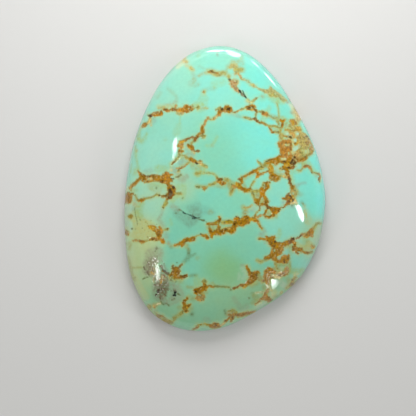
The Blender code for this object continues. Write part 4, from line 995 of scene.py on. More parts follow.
    ("ochre", 0.9, [(226.6, 319.6, 0.8), (229, 317, 0.7), (230.6, 314.4, 0.8)]), ("ochre", 0.9, [(233, 314, 0.8), (236, 313, 0.9)]),
    ("orange", 0.8, [(239.4, 314.2, 0.8), (243, 313.4, 0.9)]),
    ("hazel", 0.95, [(242.4, 313.6, 1.1), (245.2, 313, 1.3), (248.2, 312, 0.9)]),
    ("hazel", 0.8, [(248.2, 313, 0.6), (251.6, 312.4, 0.5)]),
    ("umber", 0.85, [(239.6, 315, 0.5)]), ("umber", 0.7, [(245, 313.2, 0.4)]),
]

# Small clear or pale patches that show inside the matrix: (across, down, half-width, ...).
ISLANDS = [
    [(273.4, 128.7, 1.5)], [(286, 133.2, 1.7)], [(297.2, 133.2, 1.6)], [(283, 138.2, 1.1)],
    [(294.6, 138.6, 1.6), (295, 140.6, 1.2)], [(285.6, 144.6, 1.1)],
    [(293.6, 149, 2.0), (296.4, 147, 2.2)], [(288.4, 152, 0.9), (288.2, 154, 0.7)],
    [(304.2, 150.6, 2.0), (307, 151.6, 2.0)], [(281.8, 158.4, 1.2), (284.6, 158.6, 1.4)],
    [(277.4, 166, 2.0), (276.8, 169.6, 1.6)], [(281.6, 171.6, 1.6), (282.4, 173.6, 1.2)],
    [(271.2, 163.4, 0.8)], [(224.4, 219.4, 1.1)], [(229.8, 218.2, 1.0)],
    [(222.6, 225.8, 1.9), (225.4, 225.6, 1.4)], [(229.4, 224.6, 0.9), (231.4, 224.4, 0.8)],
    [(213.2, 227.6, 1.2), (212.6, 229.6, 0.8)], [(210.4, 226, 0.9)],
    [(269, 212.6, 1.5)], [(264, 207.4, 1.8)], [(257, 195.6, 1.5)],
    [(274.4, 250, 1.2)], [(278.6, 257, 2.1)], [(285.4, 249.6, 1.6)], [(290.8, 200.8, 0.6)],
    [(309.4, 144.4, 0.9)], [(299, 163.4, 1.4)], [(148, 178.6, 0.7)],
    [(250.8, 107.3, 0.6)],
]

# Dark grains, cracks and knots, and cream and gold grains that are painted sparkle highlights: (tone, opacity, stroke
# of (across, down, half-width)).
SPECKS = [
    # painted sparkle highlights: cream, tan and gold grains round the two lower highlights, with real dark grains among
    # them
    ("cream", 1.0, [(267.6, 273.2, 0.3), (266.6, 276, 0.3), (266.4, 278, 0.2)]), ("cream", 0.9, [(269.4, 271.8, 0.3), (272.4, 271.2, 0.2)]),
    ("cream", 1.0, [(269, 276, 0.3), (268.4, 278.6, 0.3)]), ("cream", 1.0, [(268.4, 280.6, 0.4), (269, 283, 0.3)]),
    ("cream", 1.0, [(272.6, 274.2, 0.5)]), ("cream", 1.0, [(275.6, 275.4, 0.5), (278.6, 274.4, 0.4)]), ("cream", 1.0, [(281.2, 275.4, 0.4), (283.6, 273.8, 0.3)]),
    ("tan", 1.0, [(264.8, 274.6, 0.3), (264.4, 277.4, 0.3)]), ("tan", 1.0, [(285.6, 271.4, 0.4)]), ("cream", 1.0, [(269.4, 287.4, 0.4), (270.6, 289.2, 0.4)]),
    ("tan", 0.9, [(283.4, 271.8, 0.3)]), ("tan", 0.9, [(279.8, 272, 0.4)]), ("tan", 0.9, [(266.6, 292, 0.4)]), ("umber", 0.9, [(266, 274.2, 0.3), (265.4, 276.6, 0.3)]),
    ("umber", 0.9, [(274.4, 273.6, 0.4)]), ("umber", 0.9, [(280.2, 274.8, 0.4)]), ("umber", 0.8, [(283.8, 272.6, 0.4)]), ("umber", 0.8, [(267.6, 277.4, 0.3), (267.4, 280, 0.3)]),
    ("cream", 1.0, [(153.6, 265.6, 0.4), (152.8, 267.6, 0.3)]), ("tan", 1.0, [(151.6, 272, 0.4), (153.2, 274, 0.5)]), ("gold", 1.0, [(161.6, 269.6, 0.4), (161.8, 271.4, 0.4)]),
    ("gold", 1.0, [(161.6, 274.4, 0.5), (160.8, 277, 0.4)]), ("cream", 1.0, [(160.4, 279.8, 0.5)]), ("tan", 1.0, [(152.6, 279.6, 0.4), (153.8, 282.4, 0.4)]), ("cream", 1.0, [(157.6, 284, 0.4)]),
    ("cream", 0.9, [(156.2, 262.2, 0.3), (155, 264, 0.3)]), ("gold", 0.9, [(154, 277, 0.4)]), ("tan", 0.9, [(162.8, 276.4, 0.3)]), ("tan", 0.9, [(150.4, 275.4, 0.3)]),
    ("black", 1.0, [(157.6, 291.4, 1.0)]), ("black", 0.9, [(155.8, 294.2, 0.8)]), ("black", 1.0, [(174.6, 291.2, 0.9)]), ("black", 1.0, [(174.8, 294.2, 0.9)]),
    ("black", 0.7, [(177.6, 293.4, 0.6)]), ("umber", 0.8, [(163, 289.6, 0.7)]), ("umber", 0.7, [(172, 296, 0.4)]),
    # clear turquoise left standing in the stained corner, and gold filling in the middle band
    ("frost", 0.65, [(287, 133.2, 1.2)]), ("frost", 0.65, [(297.2, 133.2, 1.2)]), ("frost", 0.65, [(294.8, 139.6, 1.4)]), ("frost", 0.5, [(294.2, 148.6, 1.6), (296, 147.6, 1.8)]),
    ("gold", 0.8, [(292, 121.2, 1.6), (293, 123.6, 1.4)]), ("gold", 0.6, [(289.6, 130.2, 0.8)]), ("gold", 0.6, [(296, 129.8, 1.0)]), ("frost", 0.8, [(313.8, 152.6, 0.9)]),
    ("mustard", 0.8, [(225.8, 221.4, 0.9), (228.4, 221, 1.2), (231.6, 221.2, 1.0)]), ("mustard", 0.7, [(213, 222.6, 0.9), (216, 222.2, 1.1), (218.6, 222.6, 0.9)]),
    ("hazel", 0.6, [(208.8, 225.4, 1.2), (208.6, 227.8, 1.2)]), ("ochre", 0.65, [(216.4, 225, 0.9), (217.6, 227.2, 1.0)]),
    # left edge of the orange patch
    ("olive", 0.60, [(258.6, 274, 1.4), (260, 277.4, 1.5), (260.6, 280.4, 1.4), (261.4, 283, 0.9)]), ("hazel", 0.6, [(257.2, 277.6, 0.8), (258.6, 279.8, 0.7)]),
    ("ochre", 0.7, [(264, 274, 0.9), (264.6, 277.4, 1.1), (264, 280, 1.0)]), ("mist", 0.5, [(259.8, 275.8, 0.7)]),
    ("umber", 0.95, [(149.8, 115.4, 1.1)]),
    ("brown", 0.8, [(158, 114.4, 0.6), (160.6, 111, 0.7), (161, 110, 0.6)]),
    ("umber", 0.7, [(163.6, 109, 0.8), (166, 109, 0.9)]),
    ("umber", 0.55, [(171.5, 109.5, 0.7), (173, 108, 0.7), (175, 109.4, 0.5)]),
    ("brown", 0.8, [(184, 111, 0.9), (188, 110.6, 0.6)]),
    ("brown", 0.8, [(186, 105.8, 1.1)]),
    ("umber", 0.7, [(190, 107, 0.7)]),
    ("fern", 0.8, [(197.2, 107.1, 0.9)]),
    ("umber", 0.80, [(209.6, 70.5, 0.9), (212, 71.4, 0.6)]),
    ("brown", 0.7, [(215.6, 72.4, 0.7)]),
    ("umber", 0.85, [(228.2, 78.4, 0.7), (229.4, 79.3, 1.1)]),
    ("brown", 0.80, [(234, 82, 0.8)]), ("brown", 0.7, [(236.4, 81.6, 0.5)]), ("brown", 0.7, [(233, 86, 0.5)]), ("brown", 0.7, [(236, 88, 0.5)]),
    ("brown", 0.7, [(231, 84, 0.7)]),
    ("black", 1.0, [(238.2, 89.6, 0.6), (239.4, 91, 0.9), (240.4, 92.2, 0.7)]),
    ("black", 0.9, [(242.2, 90.4, 0.5), (242.8, 92, 0.7), (243.6, 94, 0.7), (244.6, 96, 0.9), (246, 97.8, 0.6)]),
    ("dusk", 0.7, [(240.4, 94, 0.5), (242.6, 96, 0.5)]),
    ("umber", 0.75, [(256, 97.7, 0.7)]),
    ("umber", 0.95, [(221.4, 108.7, 1.3)]),
    ("brown", 0.85, [(219.2, 111.6, 1.1)]),
    ("umber", 1.0, [(226.9, 108.3, 1.2), (228.6, 108.2, 1.5)]),
    ("umber", 0.8, [(248.2, 107.6, 1.3)]),
    ("umber", 0.6, [(252.4, 106, 0.8), (254.4, 108.6, 0.7), (256, 111.2, 0.9)]),
    ("brown", 0.8, [(263, 111.2, 0.9), (263, 113.4, 0.8)]),
    ("umber", 0.8, [(254.7, 117.4, 0.9)]),
    ("fern", 0.8, [(247, 117.6, 0.6)]),
    ("umber", 0.6, [(256, 120.4, 0.8)]),
    ("umber", 0.6, [(269.6, 128.2, 0.8)]),
    ("brown", 0.8, [(281.8, 124, 0.8)]),
    ("umber", 0.85, [(288.2, 136, 0.9), (290.4, 136.8, 1.5)]),
    ("umber", 0.85, [(295, 142.8, 0.8)]),
    ("dusk", 0.85, [(305.4, 135.8, 0.9), (307, 136, 0.9)]),
    ("dusk", 0.7, [(308.4, 138.2, 1.0)]),
    ("brown", 0.6, [(281, 143, 0.7)]), ("brown", 0.5, [(290.6, 144.6, 0.8)]),
    ("brown", 0.6, [(290, 149.6, 0.7)]), ("brown", 0.55, [(305.6, 141.8, 0.8)]),
    ("umber", 0.8, [(294.9, 153.4, 0.8)]),
    ("umber", 1.0, [(293.4, 156, 0.6), (294.8, 157, 0.7)]),
    ("umber", 1.0, [(292.6, 158.8, 0.6), (291.6, 160.8, 0.9), (290.6, 162.8, 0.9)]), ("umber", 0.9, [(293.8, 161, 0.5), (293, 163.4, 0.6)]), ("gold", 0.8, [(294.6, 159, 0.4)]), ("gold", 0.8, [(289.4, 160, 0.6)]),
    ("umber", 0.7, [(294.8, 162.4, 0.8), (294, 164, 0.7)]),
    ("umber", 1.0, [(288.4, 166.8, 1.1)]),
    ("umber", 0.85, [(282.8, 161.2, 0.8), (285.2, 161.4, 0.9)]),
    ("umber", 0.75, [(282.2, 166.2, 0.8)]),
    ("brown", 0.8, [(302.2, 158.6, 0.8)]), ("umber", 0.5, [(297, 158.4, 0.7)]),
    ("umber", 0.65, [(266.2, 161, 0.7), (269.6, 159.4, 0.6), (274, 158.8, 0.5)]),
    ("brown", 0.8, [(276.2, 163.4, 0.8)]),
    ("brown", 0.8, [(272.4, 175.2, 0.9), (274, 176, 0.8)]),
    ("umber", 0.9, [(288.9, 179.2, 1.0)]),
    ("umber", 0.6, [(289.8, 182.6, 0.7)]),
    ("umber", 0.6, [(305, 165.2, 0.7)]), ("umber", 0.7, [(311.2, 171.8, 0.9)]),
    ("umber", 0.75, [(318.6, 179, 0.8)]),
    ("umber", 0.55, [(246.8, 174.2, 0.7)]), ("umber", 0.5, [(238.6, 178.8, 0.6)]),
    ("brown", 0.8, [(252, 171.6, 0.9)]), ("brown", 0.7, [(238.4, 184.6, 1.0)]),
    ("brown", 0.75, [(243, 188.6, 0.9)]), ("brown", 0.75, [(222.4, 182.8, 1.0)]),
    ("fern", 0.9, [(231, 184, 0.8)]),
    ("umber", 0.6, [(219, 179, 0.7)]),
    ("umber", 0.55, [(203.9, 135, 0.6)]),
    ("brown", 0.8, [(202, 127.4, 0.8)]), ("umber", 0.5, [(207, 117.4, 0.5)]),
    ("brown", 0.8, [(213.2, 118.4, 0.7)]),
    ("brown", 0.85, [(194, 140, 0.8)]),
    ("brown", 0.85, [(190.8, 146.4, 1.1)]),
    ("umber", 0.6, [(196.2, 150.9, 0.6)]),
    ("umber", 1.0, [(195.2, 162.4, 0.8), (196.4, 163.1, 1.2)]),
    ("umber", 0.6, [(180, 147, 0.5)]), ("umber", 0.5, [(179.8, 151.2, 0.7)]),
    ("umber", 0.5, [(179.6, 168, 0.6), (183, 166.4, 0.5)]),
    ("umber", 0.6, [(140, 174, 0.7)]), ("brown", 0.75, [(154, 175.4, 0.8)]),
    ("umber", 0.6, [(148.6, 176.2, 0.7)]), ("umber", 0.6, [(146.8, 181.2, 0.8)]),
    ("umber", 0.7, [(161.8, 181, 0.9)]),
    ("black", 0.7, [(171.2, 178, 0.6), (173, 178.2, 0.6)]),
    ("umber", 1.0, [(172.4, 186.4, 1.2), (173.4, 188, 0.8)]),
    ("umber", 0.8, [(169, 189.6, 1.4), (170.4, 191.6, 1.7)]),
    ("dusk", 0.9, [(169.6, 194.4, 1.9), (170.8, 192.6, 1.3)]),
    ("umber", 0.85, [(168, 197.4, 1.0)]), ("umber", 0.8, [(165.4, 195, 0.9)]),
    ("umber", 1.0, [(158.8, 194.9, 0.8)]),
    ("fern", 0.8, [(151, 196.8, 0.5)]), ("fern", 0.8, [(134.6, 195, 0.5)]),
    ("brown", 0.7, [(126.4, 195, 0.9)]), ("brown", 0.6, [(141.4, 199.4, 0.6)]),
    ("umber", 0.35, [(129.4, 215.4, 0.6)]),
    ("fern", 0.55, [(134, 207, 0.4), (134.4, 211, 0.45), (135.2, 215.6, 0.45), (136.4, 220, 0.45), (137, 224.4, 0.45)]),
    ("fern", 0.5, [(139.8, 219.4, 0.8)]), ("olive", 0.6, [(145, 221.6, 0.8)]),
    ("fern", 0.85, [(131.5, 228.3, 1.0)]), ("fern", 0.7, [(134.8, 228.8, 0.8)]),
    ("fern", 0.5, [(141.8, 227.6, 0.9)]),
    ("umber", 0.5, [(158, 235.2, 0.8)]), ("brown", 0.8, [(152.6, 238.6, 0.9)]),
    ("umber", 0.5, [(155.4, 240, 0.5)]), ("brown", 0.7, [(141.6, 241.4, 0.8)]),
    ("umber", 0.8, [(167, 228.6, 0.7)]),
    ("olive", 0.7, [(143, 219, 0.5)]), ("olive", 0.7, [(147, 223, 0.6)]), ("olive", 0.7, [(150.4, 220.4, 0.5)]), ("brown", 0.5, [(148, 231, 0.5)]),
    ("olive", 0.7, [(144.4, 229.6, 0.6)]), ("olive", 0.7, [(152, 234, 0.6)]), ("brown", 0.5, [(147, 236.4, 0.5)]), ("olive", 0.7, [(141, 233, 0.5)]),
    ("brown", 0.5, [(156.4, 224, 0.6)]), ("olive", 0.7, [(138, 216.6, 0.5)]), ("brown", 0.45, [(140, 223.6, 0.4)]),
    ("umber", 0.6, [(186, 239.2, 0.9)]), ("umber", 0.55, [(190.4, 239, 0.8)]),
    ("umber", 0.6, [(193.4, 238.8, 0.9)]),
    ("umber", 1.0, [(200, 233.6, 0.8)]),
    ("brown", 0.8, [(207.2, 237.2, 0.8)]),
    ("umber", 0.7, [(210.4, 230.6, 0.9)]), ("brown", 0.8, [(215.6, 231, 1.0)]),
    ("umber", 0.75, [(221.2, 230.8, 0.9)]), ("umber", 0.7, [(225.4, 229, 0.9)]),
    ("umber", 0.6, [(231.2, 228, 0.8)]), ("umber", 0.9, [(234, 223.9, 1.1)]),
    ("umber", 0.7, [(228, 220.4, 1.3)]), ("umber", 0.7, [(235.8, 216, 0.9), (237.6, 217.2, 0.6)]),
    ("umber", 0.6, [(240.6, 222.8, 1.1)]), ("brown", 0.85, [(246.6, 217.4, 1.1)]),
    ("brown", 0.7, [(246, 221.4, 1.0)]), ("umber", 0.5, [(254, 220, 0.7)]),
    ("brown", 0.6, [(218, 228.6, 1.0)]), ("umber", 0.5, [(219, 221.6, 0.7)]),
    ("brown", 0.8, [(266.6, 236.4, 0.8)]), ("umber", 0.95, [(274.8, 241.4, 1.0)]),
    ("brown", 0.8, [(272.4, 245.8, 1.0)]), ("brown", 0.6, [(279.6, 247.6, 0.9)]),
    ("umber", 0.95, [(292.8, 238.4, 1.4)]), ("brown", 0.8, [(290.6, 240.6, 1.0)]),
    ("umber", 0.5, [(300.2, 235.4, 0.7)]), ("umber", 0.6, [(297, 252.4, 0.9)]),
    ("umber", 0.6, [(306.8, 252.4, 0.8)]), ("brown", 0.8, [(293.4, 248.6, 0.9)]),
    ("umber", 0.9, [(284, 261, 1.1)]),
    ("umber", 0.8, [(267.4, 208, 0.9)]), ("umber", 0.6, [(278.6, 210.4, 0.9)]),
    ("umber", 0.5, [(265, 202, 0.8)]), ("umber", 0.5, [(282, 207.2, 0.5)]),
    ("umber", 1.0, [(289.6, 195.4, 0.9), (290.6, 196, 0.9)]),
    ("umber", 1.0, [(292.2, 198.8, 0.7), (292.8, 200.4, 0.9)]), ("brown", 1.0, [(291, 197.4, 1.0)]), ("brown", 0.9, [(288, 195, 0.6)]), ("umber", 0.9, [(286.6, 196.2, 0.4)]), ("umber", 0.9, [(288.4, 200.2, 0.5), (289, 201.8, 0.4)]), ("brown", 0.9, [(294, 198.6, 0.5)]),
    # cream at the top end of the right highlight: painted sparkle highlights
    ("cream", 0.9, [(290.4, 203.6, 0.4)]), ("cream", 0.95, [(294.2, 201.4, 0.5), (296.4, 202.4, 0.7)]),
    ("brown", 0.9, [(287.8, 201, 0.9)]), ("brown", 0.9, [(286, 197.2, 0.6)]), ("umber", 0.7, [(289.6, 198.6, 0.5)]),
    ("umber", 0.6, [(284.4, 198.2, 0.6)]),
    ("fern", 0.6, [(291.6, 205, 0.8)]),
    ("umber", 0.7, [(195.2, 291.4, 1.3)]), ("brown", 0.7, [(204.4, 286.6, 1.0)]),
    ("brown", 0.8, [(248, 281.6, 0.8)]), ("brown", 0.8, [(251.2, 276, 1.4)]),
    ("umber", 0.85, [(256.2, 275, 0.8)]), ("umber", 0.7, [(255, 279, 0.7)]),
    ("fern", 0.8, [(230.6, 289.2, 0.8)]), ("fern", 0.7, [(248.5, 297.6, 0.8)]),
    ("umber", 0.6, [(215.2, 325, 1.3)]), ("umber", 0.6, [(214.8, 322.8, 0.6)]),
    ("umber", 0.7, [(232, 317, 0.9)]), ("umber", 0.5, [(225.4, 320.4, 0.8)]),
    ("umber", 0.5, [(238.2, 315.6, 0.8)]),
    ("umber", 0.8, [(185, 310.8, 0.9)]), ("umber", 0.6, [(183, 302.2, 0.9)]),
    ("umber", 0.6, [(187.4, 305.4, 0.9)]),
    ("umber", 0.55, [(268.2, 297.4, 0.9)]), ("umber", 0.6, [(265.4, 276.4, 0.9)]),
    ("umber", 0.7, [(278.4, 275, 0.7)]), ("umber", 0.6, [(263.4, 280.2, 0.6)]),
    ("umber", 0.7, [(291.8, 279.4, 0.7)]), ("umber", 0.6, [(291.2, 284, 0.8)]),
    ("umber", 0.6, [(184, 276.4, 0.9)]), ("brown", 0.7, [(176, 271.8, 1.0)]),
    # the black crack of the middle left
    ("fern", 0.7, [(178.4, 208.8, 0.9), (180.4, 210, 0.7)]),
    ("black", 0.9, [(181.8, 210.8, 0.4), (183.2, 212.2, 0.7), (185.4, 213.2, 0.4), (187.6, 214, 0.6), (190, 214.9, 0.5)]),
    ("black", 0.95, [(190, 214.9, 0.5), (192.4, 215.8, 0.7), (194.4, 217.2, 0.8), (197, 217.4, 0.5), (199.6, 216.4, 0.3)]),
    ("dusk", 0.8, [(192.6, 216, 0.3), (192, 213.6, 0.3)]), ("dusk", 0.8, [(196.6, 217.6, 0.3), (198.8, 219, 0.4)]),
    ("black", 0.8, [(191.8, 218, 0.6), (194.2, 217.8, 0.7)]),
    ("fern", 0.9, [(197.2, 218.2, 0.8), (200, 219.2, 0.8), (203.6, 220, 1.1)]),
    ("black", 0.6, [(203.8, 220, 0.7)]),
    ("fern", 0.6, [(175.6, 213, 1.1)]), ("fern", 0.4, [(206, 221.8, 0.8)]),
    # the grey, mossy cloud of the lower left
    ("fern", 0.7, [(156.2, 247.6, 1.2)]), ("fern", 0.6, [(154.6, 250.6, 0.8)]),
    ("dusk", 0.55, [(150.6, 257, 0.3), (149, 262, 0.4), (145.6, 266, 0.3)]),
    ("dusk", 0.55, [(153.6, 255.6, 0.3), (152.4, 260, 0.4), (153.4, 264, 0.4)]),
    ("dusk", 0.55, [(146, 259.6, 0.3), (148.6, 265, 0.4), (149.6, 270, 0.4)]),
    ("dusk", 0.55, [(160, 257, 0.3), (161.6, 261, 0.4), (164.6, 264.6, 0.4)]),
    ("dusk", 0.55, [(157.6, 253.6, 0.3), (156.4, 257.6, 0.4)]),
    ("fern", 0.55, [(144, 272, 0.3), (148.6, 275, 0.4), (152.6, 281, 0.4)]),
    ("dusk", 0.6, [(166.6, 276.6, 0.5), (167, 281, 0.5), (164, 285, 0.5)]),
    ("dusk", 0.6, [(155, 286.6, 0.4), (153.4, 290, 0.4)]), ("dusk", 0.6, [(161.6, 290.6, 0.7), (163.6, 293.6, 0.5), (166.6, 296, 0.4)]),
    ("dusk", 0.6, [(163.6, 288.6, 0.8), (167.6, 288, 0.6), (171, 290.6, 0.4)]),
    ("umber", 0.7, [(159.6, 291, 0.5), (161.6, 288.6, 0.5)]),
    # cream and gold grains beside the lower-left highlight: painted sparkle highlights
    ("cream", 1.0, [(152.8, 267.6, 0.5), (153.6, 270, 0.4)]), ("gold", 1.0, [(150.6, 271.6, 0.7), (153, 273.6, 0.6)]),
    ("cream", 1.0, [(161.6, 274.6, 0.5), (162.4, 277, 0.5)]), ("gold", 1.0, [(161.4, 280, 0.6), (160.2, 282.8, 0.6)]),
    ("gold", 0.9, [(153.2, 277.6, 0.5), (153, 280.6, 0.5)]), ("gold", 0.9, [(163.6, 272.6, 0.4)]),
    ("dusk", 0.7, [(154.8, 259.6, 1.4)]), ("dusk", 0.6, [(157, 262, 0.9)]),
    ("dusk", 0.8, [(143.4, 266.6, 0.8), (144.2, 269.2, 0.8)]),
    ("dusk", 0.7, [(146.4, 271.8, 1.2), (148, 274.4, 0.9)]),
    ("fern", 0.85, [(142.6, 278.6, 0.8), (144.6, 277.4, 0.7), (147.4, 276.6, 0.6)]),
    ("dusk", 0.85, [(152.4, 266.6, 0.9), (152.8, 270.8, 1.0)]),
    ("dusk", 0.7, [(154, 279, 0.9), (154.6, 275.4, 0.7)]),
    ("umber", 0.85, [(162.4, 269.8, 1.3), (164.4, 271, 1.5)]),
    ("dusk", 0.9, [(165, 272, 1.4), (167, 273.4, 1.4), (168.4, 272.6, 0.9)]),
    ("dusk", 0.8, [(160.6, 265.6, 1.3), (162, 267.4, 0.9)]),
    ("dusk", 0.8, [(163.6, 276, 1.0), (161.4, 274, 0.8)]),
    ("dusk", 0.85, [(154.2, 284.6, 1.1), (156.6, 283.8, 0.9)]),
    ("dusk", 0.8, [(159, 284.2, 0.9), (160.6, 287.6, 1.1)]),
    ("umber", 0.9, [(158.8, 289, 1.0), (157.4, 291, 1.6)]),
    ("black", 1.0, [(157.2, 291.4, 1.2)]),
    ("umber", 1.0, [(155.6, 294.2, 1.2)]),
    ("dusk", 0.8, [(159.6, 293.6, 0.6), (159.4, 296.4, 0.7), (160, 298.6, 0.6)]),
    ("dusk", 0.7, [(164.6, 287.6, 1.0), (168, 289.8, 0.9)]),
    ("dusk", 0.6, [(165.4, 283.6, 0.9)]), ("dusk", 0.6, [(168, 285.4, 0.7)]),
    ("dusk", 0.75, [(172.6, 289, 0.6), (174.4, 290.6, 0.9)]),
    ("black", 1.0, [(174.6, 291.6, 1.5)]), ("black", 0.95, [(174.8, 294.6, 1.2), (172.6, 294.6, 0.9)]),
    ("fern", 0.8, [(177.4, 293.2, 1.1), (179.6, 294.6, 0.6)]),
    ("fern", 0.7, [(173.6, 298.6, 0.8), (171.4, 299.6, 0.6)]),
    ("fern", 0.75, [(160.4, 301.2, 0.7), (161.8, 303.2, 0.8), (163.4, 304.2, 0.8)]),
    ("fern", 0.7, [(164.8, 302.8, 0.6), (166.8, 303.4, 0.6), (168.4, 305.4, 0.8)]),
    ("dusk", 0.7, [(170.2, 279.6, 0.8), (172, 280, 0.6)]),
    ("fern", 0.7, [(176.6, 262, 1.0)]), ("fern", 0.5, [(171.8, 265.8, 1.0)]),
    ("fern", 0.6, [(175.4, 281.4, 0.8)]), ("fern", 0.5, [(134.8, 277, 0.9)]),
    ("fern", 0.6, [(188.2, 252.8, 1.1)]),
    ("fern", 0.6, [(224.6, 312.6, 0.7)]), ("fern", 0.5, [(191, 313.8, 1.1)]),
    ("fern", 0.5, [(155.6, 187.4, 1.2)]), ("fern", 0.5, [(182, 197.8, 0.9)]),
]


# Crumbly, porous places: (across, down, half-width), ...
CRUMBLY = [
    [(153, 264, 4.0), (156, 272, 5.5), (157, 281, 4.0)],
    [(148, 270, 3.0), (162, 270, 3.0)], [(163, 278, 3.5), (163, 290, 4.0)],
    [(269, 273, 2.5), (275, 276.5, 3.0), (280, 275, 2.0)], [(276, 282, 3.0), (271, 288, 2.0)],
    [(180, 142, 2.5), (180, 150, 2.5), (177, 157, 2.0), (173, 162, 1.6)],
]


def along(stroke):
    """A smooth run of points through a stroke's own points."""
    p = np.array(stroke, float)
    if len(p) == 1:
        return np.vstack([p, p])
    if len(p) == 2:
        return p
    q = np.vstack([2 * p[0] - p[1], p, 2 * p[-1] - p[-2]])
    out = []
    for i in range(1, len(q) - 2):
        a, b, c, d = q[i - 1:i + 3]
        for t in (0.0, 0.25, 0.5, 0.75):
            out.append(0.5 * (2 * b + (c - a) * t + (2 * a - 5 * b + 4 * c - d) * t * t
                              + (3 * b - a - 3 * c + d) * t ** 3))
    out.append(q[-2])
    return np.array(out)


def depth_in(stroke, u, v, reach, swollen=0.0):
    """Half-width less distance to the stroke, in pixels, and which points it was worked out for."""
    run = along(stroke)
    run[:, 2] += swollen * (0.15 + 0.55 * np.minimum(run[:, 2], 2.5))
    wide = run[:, 2].max() + reach
    near = np.nonzero((u > run[:, 0].min() - wide) & (u < run[:, 0].max() + wide)
                      & (v > run[:, 1].min() - wide) & (v < run[:, 1].max() + wide))[0]
    best = np.full(len(near), -99.0)
    pu, pv = u[near], v[near]
    for (x0, y0, w0), (x1, y1, w1) in zip(run[:-1], run[1:]):
        dx, dy = x1 - x0, y1 - y0
        ll = dx * dx + dy * dy
        t = np.clip(((pu - x0) * dx + (pv - y0) * dy) / ll, 0, 1) if ll > 1e-9 else np.zeros(len(pu))
        d = np.hypot(pu - x0 - t * dx, pv - y0 - t * dy)
        best = np.maximum(best, w0 + (w1 - w0) * t - d)
    return near, best


def layer(strokes, u, v, reach=4.0, keen=2.2, swollen=0.0):
    """Depth inside the layer's strokes, and the tone and opacity that rule at each point."""
    depth = np.full(len(u), -reach)
    total = np.full(len(u), 1e-9)
    colour = np.zeros((len(u), 4))
    for tone, strength, stroke in strokes:
        near, d = depth_in(stroke, u, v, reach, swollen)
        depth[near] = np.maximum(depth[near], d)
        w = np.exp(keen * np.maximum(d, -reach))
        total[near] += w
        colour[near, :3] += w[:, None] * TONES[tone]
        colour[near, 3] += w * strength
    return depth, colour / total[:, None]


def stain_and_painted_light_layer(u, v):
    """Soft-edged stains, painted rim light and painted highlights, laid over each other in the order they are listed.
    """
    colour = np.zeros((len(u), 3))
    cover = np.zeros(len(u))
    for tone, strength, stroke in STAINS_AND_PAINTED_LIGHT:
        near, d = depth_in(stroke, u, v, 6.0)
        half = max(p[2] for p in stroke)
        a = strength / (1 + np.exp(-2.0 * d / min(1.2, 0.55 * half + 0.15)))
        a[d < -5.5] = 0
        c0 = cover[near]
        c1 = a + c0 * (1 - a)
        colour[near] = (TONES[tone] * a[:, None] + colour[near] * (c0 * (1 - a))[:, None]) / np.maximum(c1, 1e-6)[:, None]
        cover[near] = c1
    return colour, cover


# The turquoise's base tone from the drifts, with its partly painted shade towards the bottom.
def drift_and_shade_colour(u, v):
    total = np.full(len(u), 0.2)
    colour = np.outer(total, TONES["sea"])
    for tone, weight, far, path in DRIFTS_AND_SHADE:
        near, d = depth_in([(*spot, far) for spot in path], u, v, 2.0 * far)
        share = weight * np.exp(-(1 - d / far) ** 2)
        total[near] += share
        colour[near] += share[:, None] * TONES[tone]
    return colour / total[:, None]


# ---- build the stone ------------------------------------------------------------------------
points, faces, row_of, turns, rows = lay_out()
normals = normals_of(points, faces)
kind = np.array(["dome"] + [r[2] for r in rows] + ["back"])[row_of]
on_dome = kind == "dome"
on_back = kind == "back"

# Drawing coordinates: what the camera sees on the dome. Further down the seams of the stone
# run on through its thickness, drifting sideways, so they cross the wall and come out on the
# back in other places.
x, y, z = points.T
u, v = drawn_at(x, y, np.maximum(z, WALL_TOP))
deep = np.clip((WALL_TOP - z) / WALL_TOP, 0, 1) ** 1.3
inward = np.clip((1 - np.hypot(x, y) / RADIUS), 0, 1) * on_back
u = u + deep * (4.5 * swell(points, 9.0, 11) + 1.6 * swell(points, 2.6, 12)) + inward * (26 + 22 * swell(points, 16, 13))
v = v + deep * (4.5 * swell(points, 9.0, 21) + 1.6 * swell(points, 2.6, 22)) - inward * (18 + 22 * swell(points, 16, 23))

vein_depth, vein_and_sparkle_colour = layer(VEINS_AND_SPARKLES, u, v, swollen=0.32)
speck_depth, speck_colour = layer(SPECKS, u, v, reach=3.0, keen=3.0)
for patch in ISLANDS:
    near, d = depth_in(patch, u, v, 3.0)
    vein_depth[near] = np.minimum(vein_depth[near], -d * 1.2)
stain_and_light_colour, stain_and_light_cover = stain_and_painted_light_layer(u, v)
ground = drift_and_shade_colour(u, v)

# Relief, always inwards from the CAD's surface: the softer matrix lies a little under the
# polish, cracks lie deeper, and the hand-cut dome swells very slightly.
relief = 0.0035 * (1 + swell(points, 6.5, 31)) + 0.0010 * (1 + swell(points, 2.4, 32))
sunk = smooth(-0.5, 1.1, vein_depth) * vein_and_sparkle_colour[:, 3]
relief += sunk * (0.020 + 0.011 * (1 + swell(points, 0.75, 33)) + 0.006 * (1 + swell(points, 0.42, 34)))
relief += smooth(-0.3, 0.8, speck_depth) * speck_colour[:, 3] * 0.026
relief *= np.where(on_back, 0.6, 1.0)
relief += on_back * 0.0015 * (1 + swell(points, 3.0, 35))
# the flat back stays on its plane where it rests: only its pits and seams are hollow
relief[on_back] -= relief[on_back].min()
points = points - normals * np.maximum(relief, 0)[:, None]
points[:, 2] = np.clip(points[:, 2], 0.0, THICKNESS)

mesh = bpy.data.meshes.new("turquoise_cabochon_skin")
mesh.from_pydata((points * MM).tolist(), [], faces.tolist())
mesh.validate()
mesh.update()
mesh.shade_smooth()


def keep(name, values, kind_of):
    a = mesh.attributes.new(name, kind_of, "POINT")
    a.data.foreach_set("color" if kind_of == "FLOAT_COLOR" else "value", np.ascontiguousarray(values, np.float32).ravel())


def with_alpha(rgb, a):
    return np.concatenate([rgb, np.reshape(a, (-1, 1))], 1)


